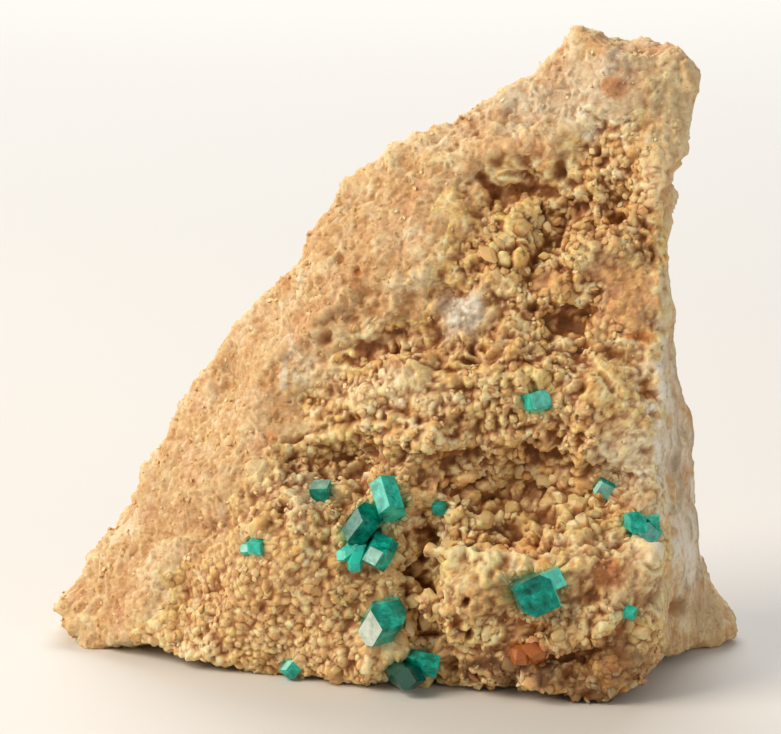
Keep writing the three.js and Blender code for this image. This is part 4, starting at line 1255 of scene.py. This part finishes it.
# %% Calcite materials
def calcite(name, tips, roughness, transmission, most_tint):
    """Milky calcite that is stained towards its foot. tips are the colours from the palest up."""
    material, tree, output = new_material(name)
    where = add_node(tree, "ShaderNodeTexCoord").outputs["Object"]
    luck = add_node(tree, "ShaderNodeAttribute", {"attribute_name": "luck"})
    tip_colour = add_node(
        tree, "ShaderNodeValToRGB", links={"Fac": luck.outputs["Fac"]},
        stops=[(0.1, tips[0]), (0.5, tips[1]), (0.9, tips[2])],
    )
    tint = add_node(tree, "ShaderNodeAttribute", {"attribute_name": "tint"})
    tint_share = add_node(
        tree, "ShaderNodeMath", {"operation": "MULTIPLY"}, {1: most_tint}, {0: tint.outputs["Alpha"]}
    )
    patched = add_node(
        tree, "ShaderNodeMixRGB",
        links={
            "Fac": tint_share.outputs[0],
            "Color1": tip_colour.outputs["Color"],
            "Color2": tint.outputs["Color"],
        },
    )
    cloud = add_node(
        tree, "ShaderNodeTexNoise", values={"Scale": PER_METRE / 0.6, "Detail": 3.0}, links={"Vector": where}
    )
    height = add_node(tree, "ShaderNodeAttribute", {"attribute_name": "height"})
    foot = add_node(
        tree, "ShaderNodeMath", {"operation": "MULTIPLY_ADD"}, {1: 0.45},
        {0: cloud.outputs["Fac"], 2: height.outputs["Fac"]},
    )
    foot_colour = add_node(
        tree, "ShaderNodeValToRGB", links={"Fac": foot.outputs[0]},
        stops=[(-0.0, "#b5793f"), (0.14, "#dfb57c"), (0.32, "#ffffff")],
    )
    stained = add_node(
        tree, "ShaderNodeMixRGB", {"blend_type": "MULTIPLY"}, {"Fac": 0.9},
        {"Color1": patched.outputs["Color"], "Color2": foot_colour.outputs["Color"]},
    )
    bump = add_node(
        tree, "ShaderNodeBump", values={"Strength": 0.35, "Distance": 0.1 * MM},
        links={"Height": cloud.outputs["Fac"]}
    )
    surface = add_node(
        tree, "ShaderNodeBsdfPrincipled",
        values={
            "Roughness": roughness, "IOR": 1.6, "Transmission Weight": transmission,
            "Subsurface Weight": 0.35, "Subsurface Radius": (1.0, 0.6, 0.3), "Subsurface Scale": 0.5 * MM,
        },
        links={"Base Color": stained.outputs["Color"], "Normal": bump.outputs["Normal"]},
    )
    tree.links.new(surface.outputs["BSDF"], output.inputs["Surface"])
    return material


sugary_calcite = calcite("sugary_cream_calcite", ["#efd8a4", "#dfbc7e", "#cb9e5e"], 0.5, 0.0, 0.7)
block_calcite = calcite("blocky_yellow_calcite", ["#f6e6ba", "#ead09a", "#dab878"], 0.3, 0.12, 1.0)

# %% [markdown]
# ## Dioptase
# Dioptase is a copper silicate with an index of refraction of about 1.66. Its faces are glassy. Light
# goes a short way in and comes back deep bluish green, with lighter veils where the crystal is full
# of tiny cracks. The faces aren't perfect mirrors: fine growth lines make their gloss uneven. Light
# and shade are also painted into the green: some faces are painted lighter or darker, and a few
# facets are painted pale grey-white, a painted reflection, with a rougher gloss.

# %% Dioptase material
dioptase, tree, output = new_material("emerald_dioptase")
where = add_node(tree, "ShaderNodeTexCoord").outputs["Object"]
veils = add_node(
    tree, "ShaderNodeTexNoise",
    values={"Scale": PER_METRE / 0.9, "Detail": 6.0, "Roughness": 0.65, "Distortion": 0.4},
    links={"Vector": where},
)
# tone: each face's painted light and shade
tone = add_node(tree, "ShaderNodeAttribute", {"attribute_name": "tone"})
lightness = add_node(
    tree, "ShaderNodeMath", {"operation": "MULTIPLY_ADD"}, {1: 0.5},
    {0: tone.outputs["Fac"], 2: veils.outputs["Fac"]}
)
green = add_node(
    tree, "ShaderNodeValToRGB", links={"Fac": lightness.outputs[0]},
    stops=[(0.5, "#004c40"), (0.72, "#009480"), (0.95, "#2fdcc4")],
)
pale = add_node(tree, "ShaderNodeAttribute", {"attribute_name": "pale"})
# painted reflection: on pale facets the veils' pattern mixes the green toward pale grey-white
frost = add_node(
    tree, "ShaderNodeMath", {"operation": "MULTIPLY_ADD", "use_clamp": True}, {1: 1.4, 2: 0.0},
    {0: veils.outputs["Fac"]},
)
painted_reflection = add_node(
    tree, "ShaderNodeMath", {"operation": "MULTIPLY"},
    links={0: frost.outputs[0], 1: pale.outputs["Fac"]},
)
faces = add_node(
    tree, "ShaderNodeMixRGB", values={"Color2": linear("#e9ede2") + [1]},
    links={"Fac": painted_reflection.outputs[0], "Color1": green.outputs["Color"]},
)
growth = add_node(
    tree, "ShaderNodeTexNoise", values={"Scale": PER_METRE / 0.25, "Detail": 3.0}, links={"Vector": where}
)
bump = add_node(
    tree, "ShaderNodeBump", values={"Strength": 0.15, "Distance": 0.05 * MM},
    links={"Height": growth.outputs["Fac"]}
)
gloss = add_node(
    tree, "ShaderNodeMapRange", {"clamp": True}, {"From Max": 0.25, "To Min": 0.14, "To Max": 0.5},
    {"Value": pale.outputs["Fac"]},
)
surface = add_node(
    tree, "ShaderNodeBsdfPrincipled",
    values={"IOR": 1.66, "Specular IOR Level": 0.4, "Transmission Weight": 0.1},
    links={
        "Base Color": faces.outputs["Color"], "Roughness": gloss.outputs["Result"],
        "Normal": bump.outputs["Normal"],
    },
)
tree.links.new(surface.outputs["BSDF"], output.inputs["Surface"])

# %% Give the pieces their finishes
for piece, finish, some in ((stone, limestone, ~on_shell), (crust_piece, crust_finish, on_shell)):
    tints = piece.data.attributes.new("tint", "FLOAT_COLOR", "POINT")
    tints.data.foreach_set("color", np.column_stack([painted, strength])[some].ravel())
    piece.data.attributes.new("hollow", "FLOAT", "POINT").data.foreach_set("value", hollow[some])
    piece.data.attributes.new("luck", "FLOAT", "POINT").data.foreach_set("value", block_chance[some])
    piece.data.shade_smooth()
    piece.data.materials.clear()
    piece.data.materials.append(finish)
for piece in druse_pieces + crumb_pieces + [collar_piece]:
    piece.data.materials.append(sugary_calcite)
single_piece.data.materials.append(block_calcite)
for piece in crystal_pieces.values():
    piece.data.materials.clear()
    piece.data.materials.append(dioptase)

# %% Say what each piece stands for
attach(stone, "root")
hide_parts(MATRIX)
for piece in [stone, crust_piece, collar_piece, single_piece] + druse_pieces + crumb_pieces:
    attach(piece, "root")
for node, piece in crystal_pieces.items():
    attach(piece, "root")
    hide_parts(node)

# %% [markdown]
# ## Floor and light
# The specimen stands on a plain pale floor. A warm key light from the upper left models the slope and
# the lumps, as in the photograph. A weak light from the right opens the shadows, and a small one low
# on the left is there for the crystals: it shows in those faces that mirror it.

# %% Build the floor
FLOOR_HALF = 2.0  # m
floor_mesh = bpy.data.meshes.new("floor")
corners = [(x * FLOOR_HALF, y * FLOOR_HALF, 0) for x, y in ((-1, -1), (1, -1), (1, 1), (-1, 1))]
floor_mesh.from_pydata(corners, [], [(0, 1, 2, 3)])
floor = linked("floor", floor_mesh)
paper, tree, output = new_material("pale_paper")
surface = add_node(
    tree, "ShaderNodeBsdfPrincipled", values={"Base Color": linear("#dcdad6") + [1], "Roughness": 0.7}
)
tree.links.new(surface.outputs["BSDF"], output.inputs["Surface"])
floor_mesh.materials.append(paper)
floor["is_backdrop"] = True


# %% Place the lights
def soft_light(name, toward_light, away, size, power, colour):
    """A square soft light that looks at the middle of the stone. away and size are in mm."""
    light = bpy.data.lights.new(name, "AREA")
    light.shape, light.size = "SQUARE", size * MM
    light.energy, light.color = power, linear(colour)
    lamp = linked(name, light)
    direction = Vector(toward_light).normalized()
    lamp.location = (AIM + direction * away) * MM
    lamp.rotation_euler = direction.to_track_quat("Z", "Y").to_euler()
    return lamp


soft_light("key_light", (-0.76, -0.28, 0.62), 450, 290, 2.0, "#fff1e0")
soft_light("fill_light", (0.75, -0.85, 0.35), 550, 300, 0.45, "#ffffff")
glint = soft_light("glint_light", (-0.97, 0.2, 0.12), 300, 240, 0.5, "#ffffff")
glint.visible_diffuse = False
backdrop = soft_light("backdrop_light", (0, 0.75, 0.66), 1300, 900, 14.0, "#ffffff")
backdrop.rotation_euler = (0, 0, 0)
world = bpy.data.worlds.new("soft_room")
world.use_nodes = True
world.node_tree.nodes["Background"].inputs["Color"].default_value = linear("#f4f1ec") + [1]
world.node_tree.nodes["Background"].inputs["Strength"].default_value = 0.34
bpy.context.scene.world = world
bpy.context.scene.view_settings.view_transform = "Standard"

# %% Write the sizes and finish
VISUAL_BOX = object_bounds()
for name, (low, high) in {"CAD": CAD_BOX, "visual": VISUAL_BOX}.items():
    print(name, "box in mm:", [round((b - a) / MM, 2) for a, b in zip(low, high)])
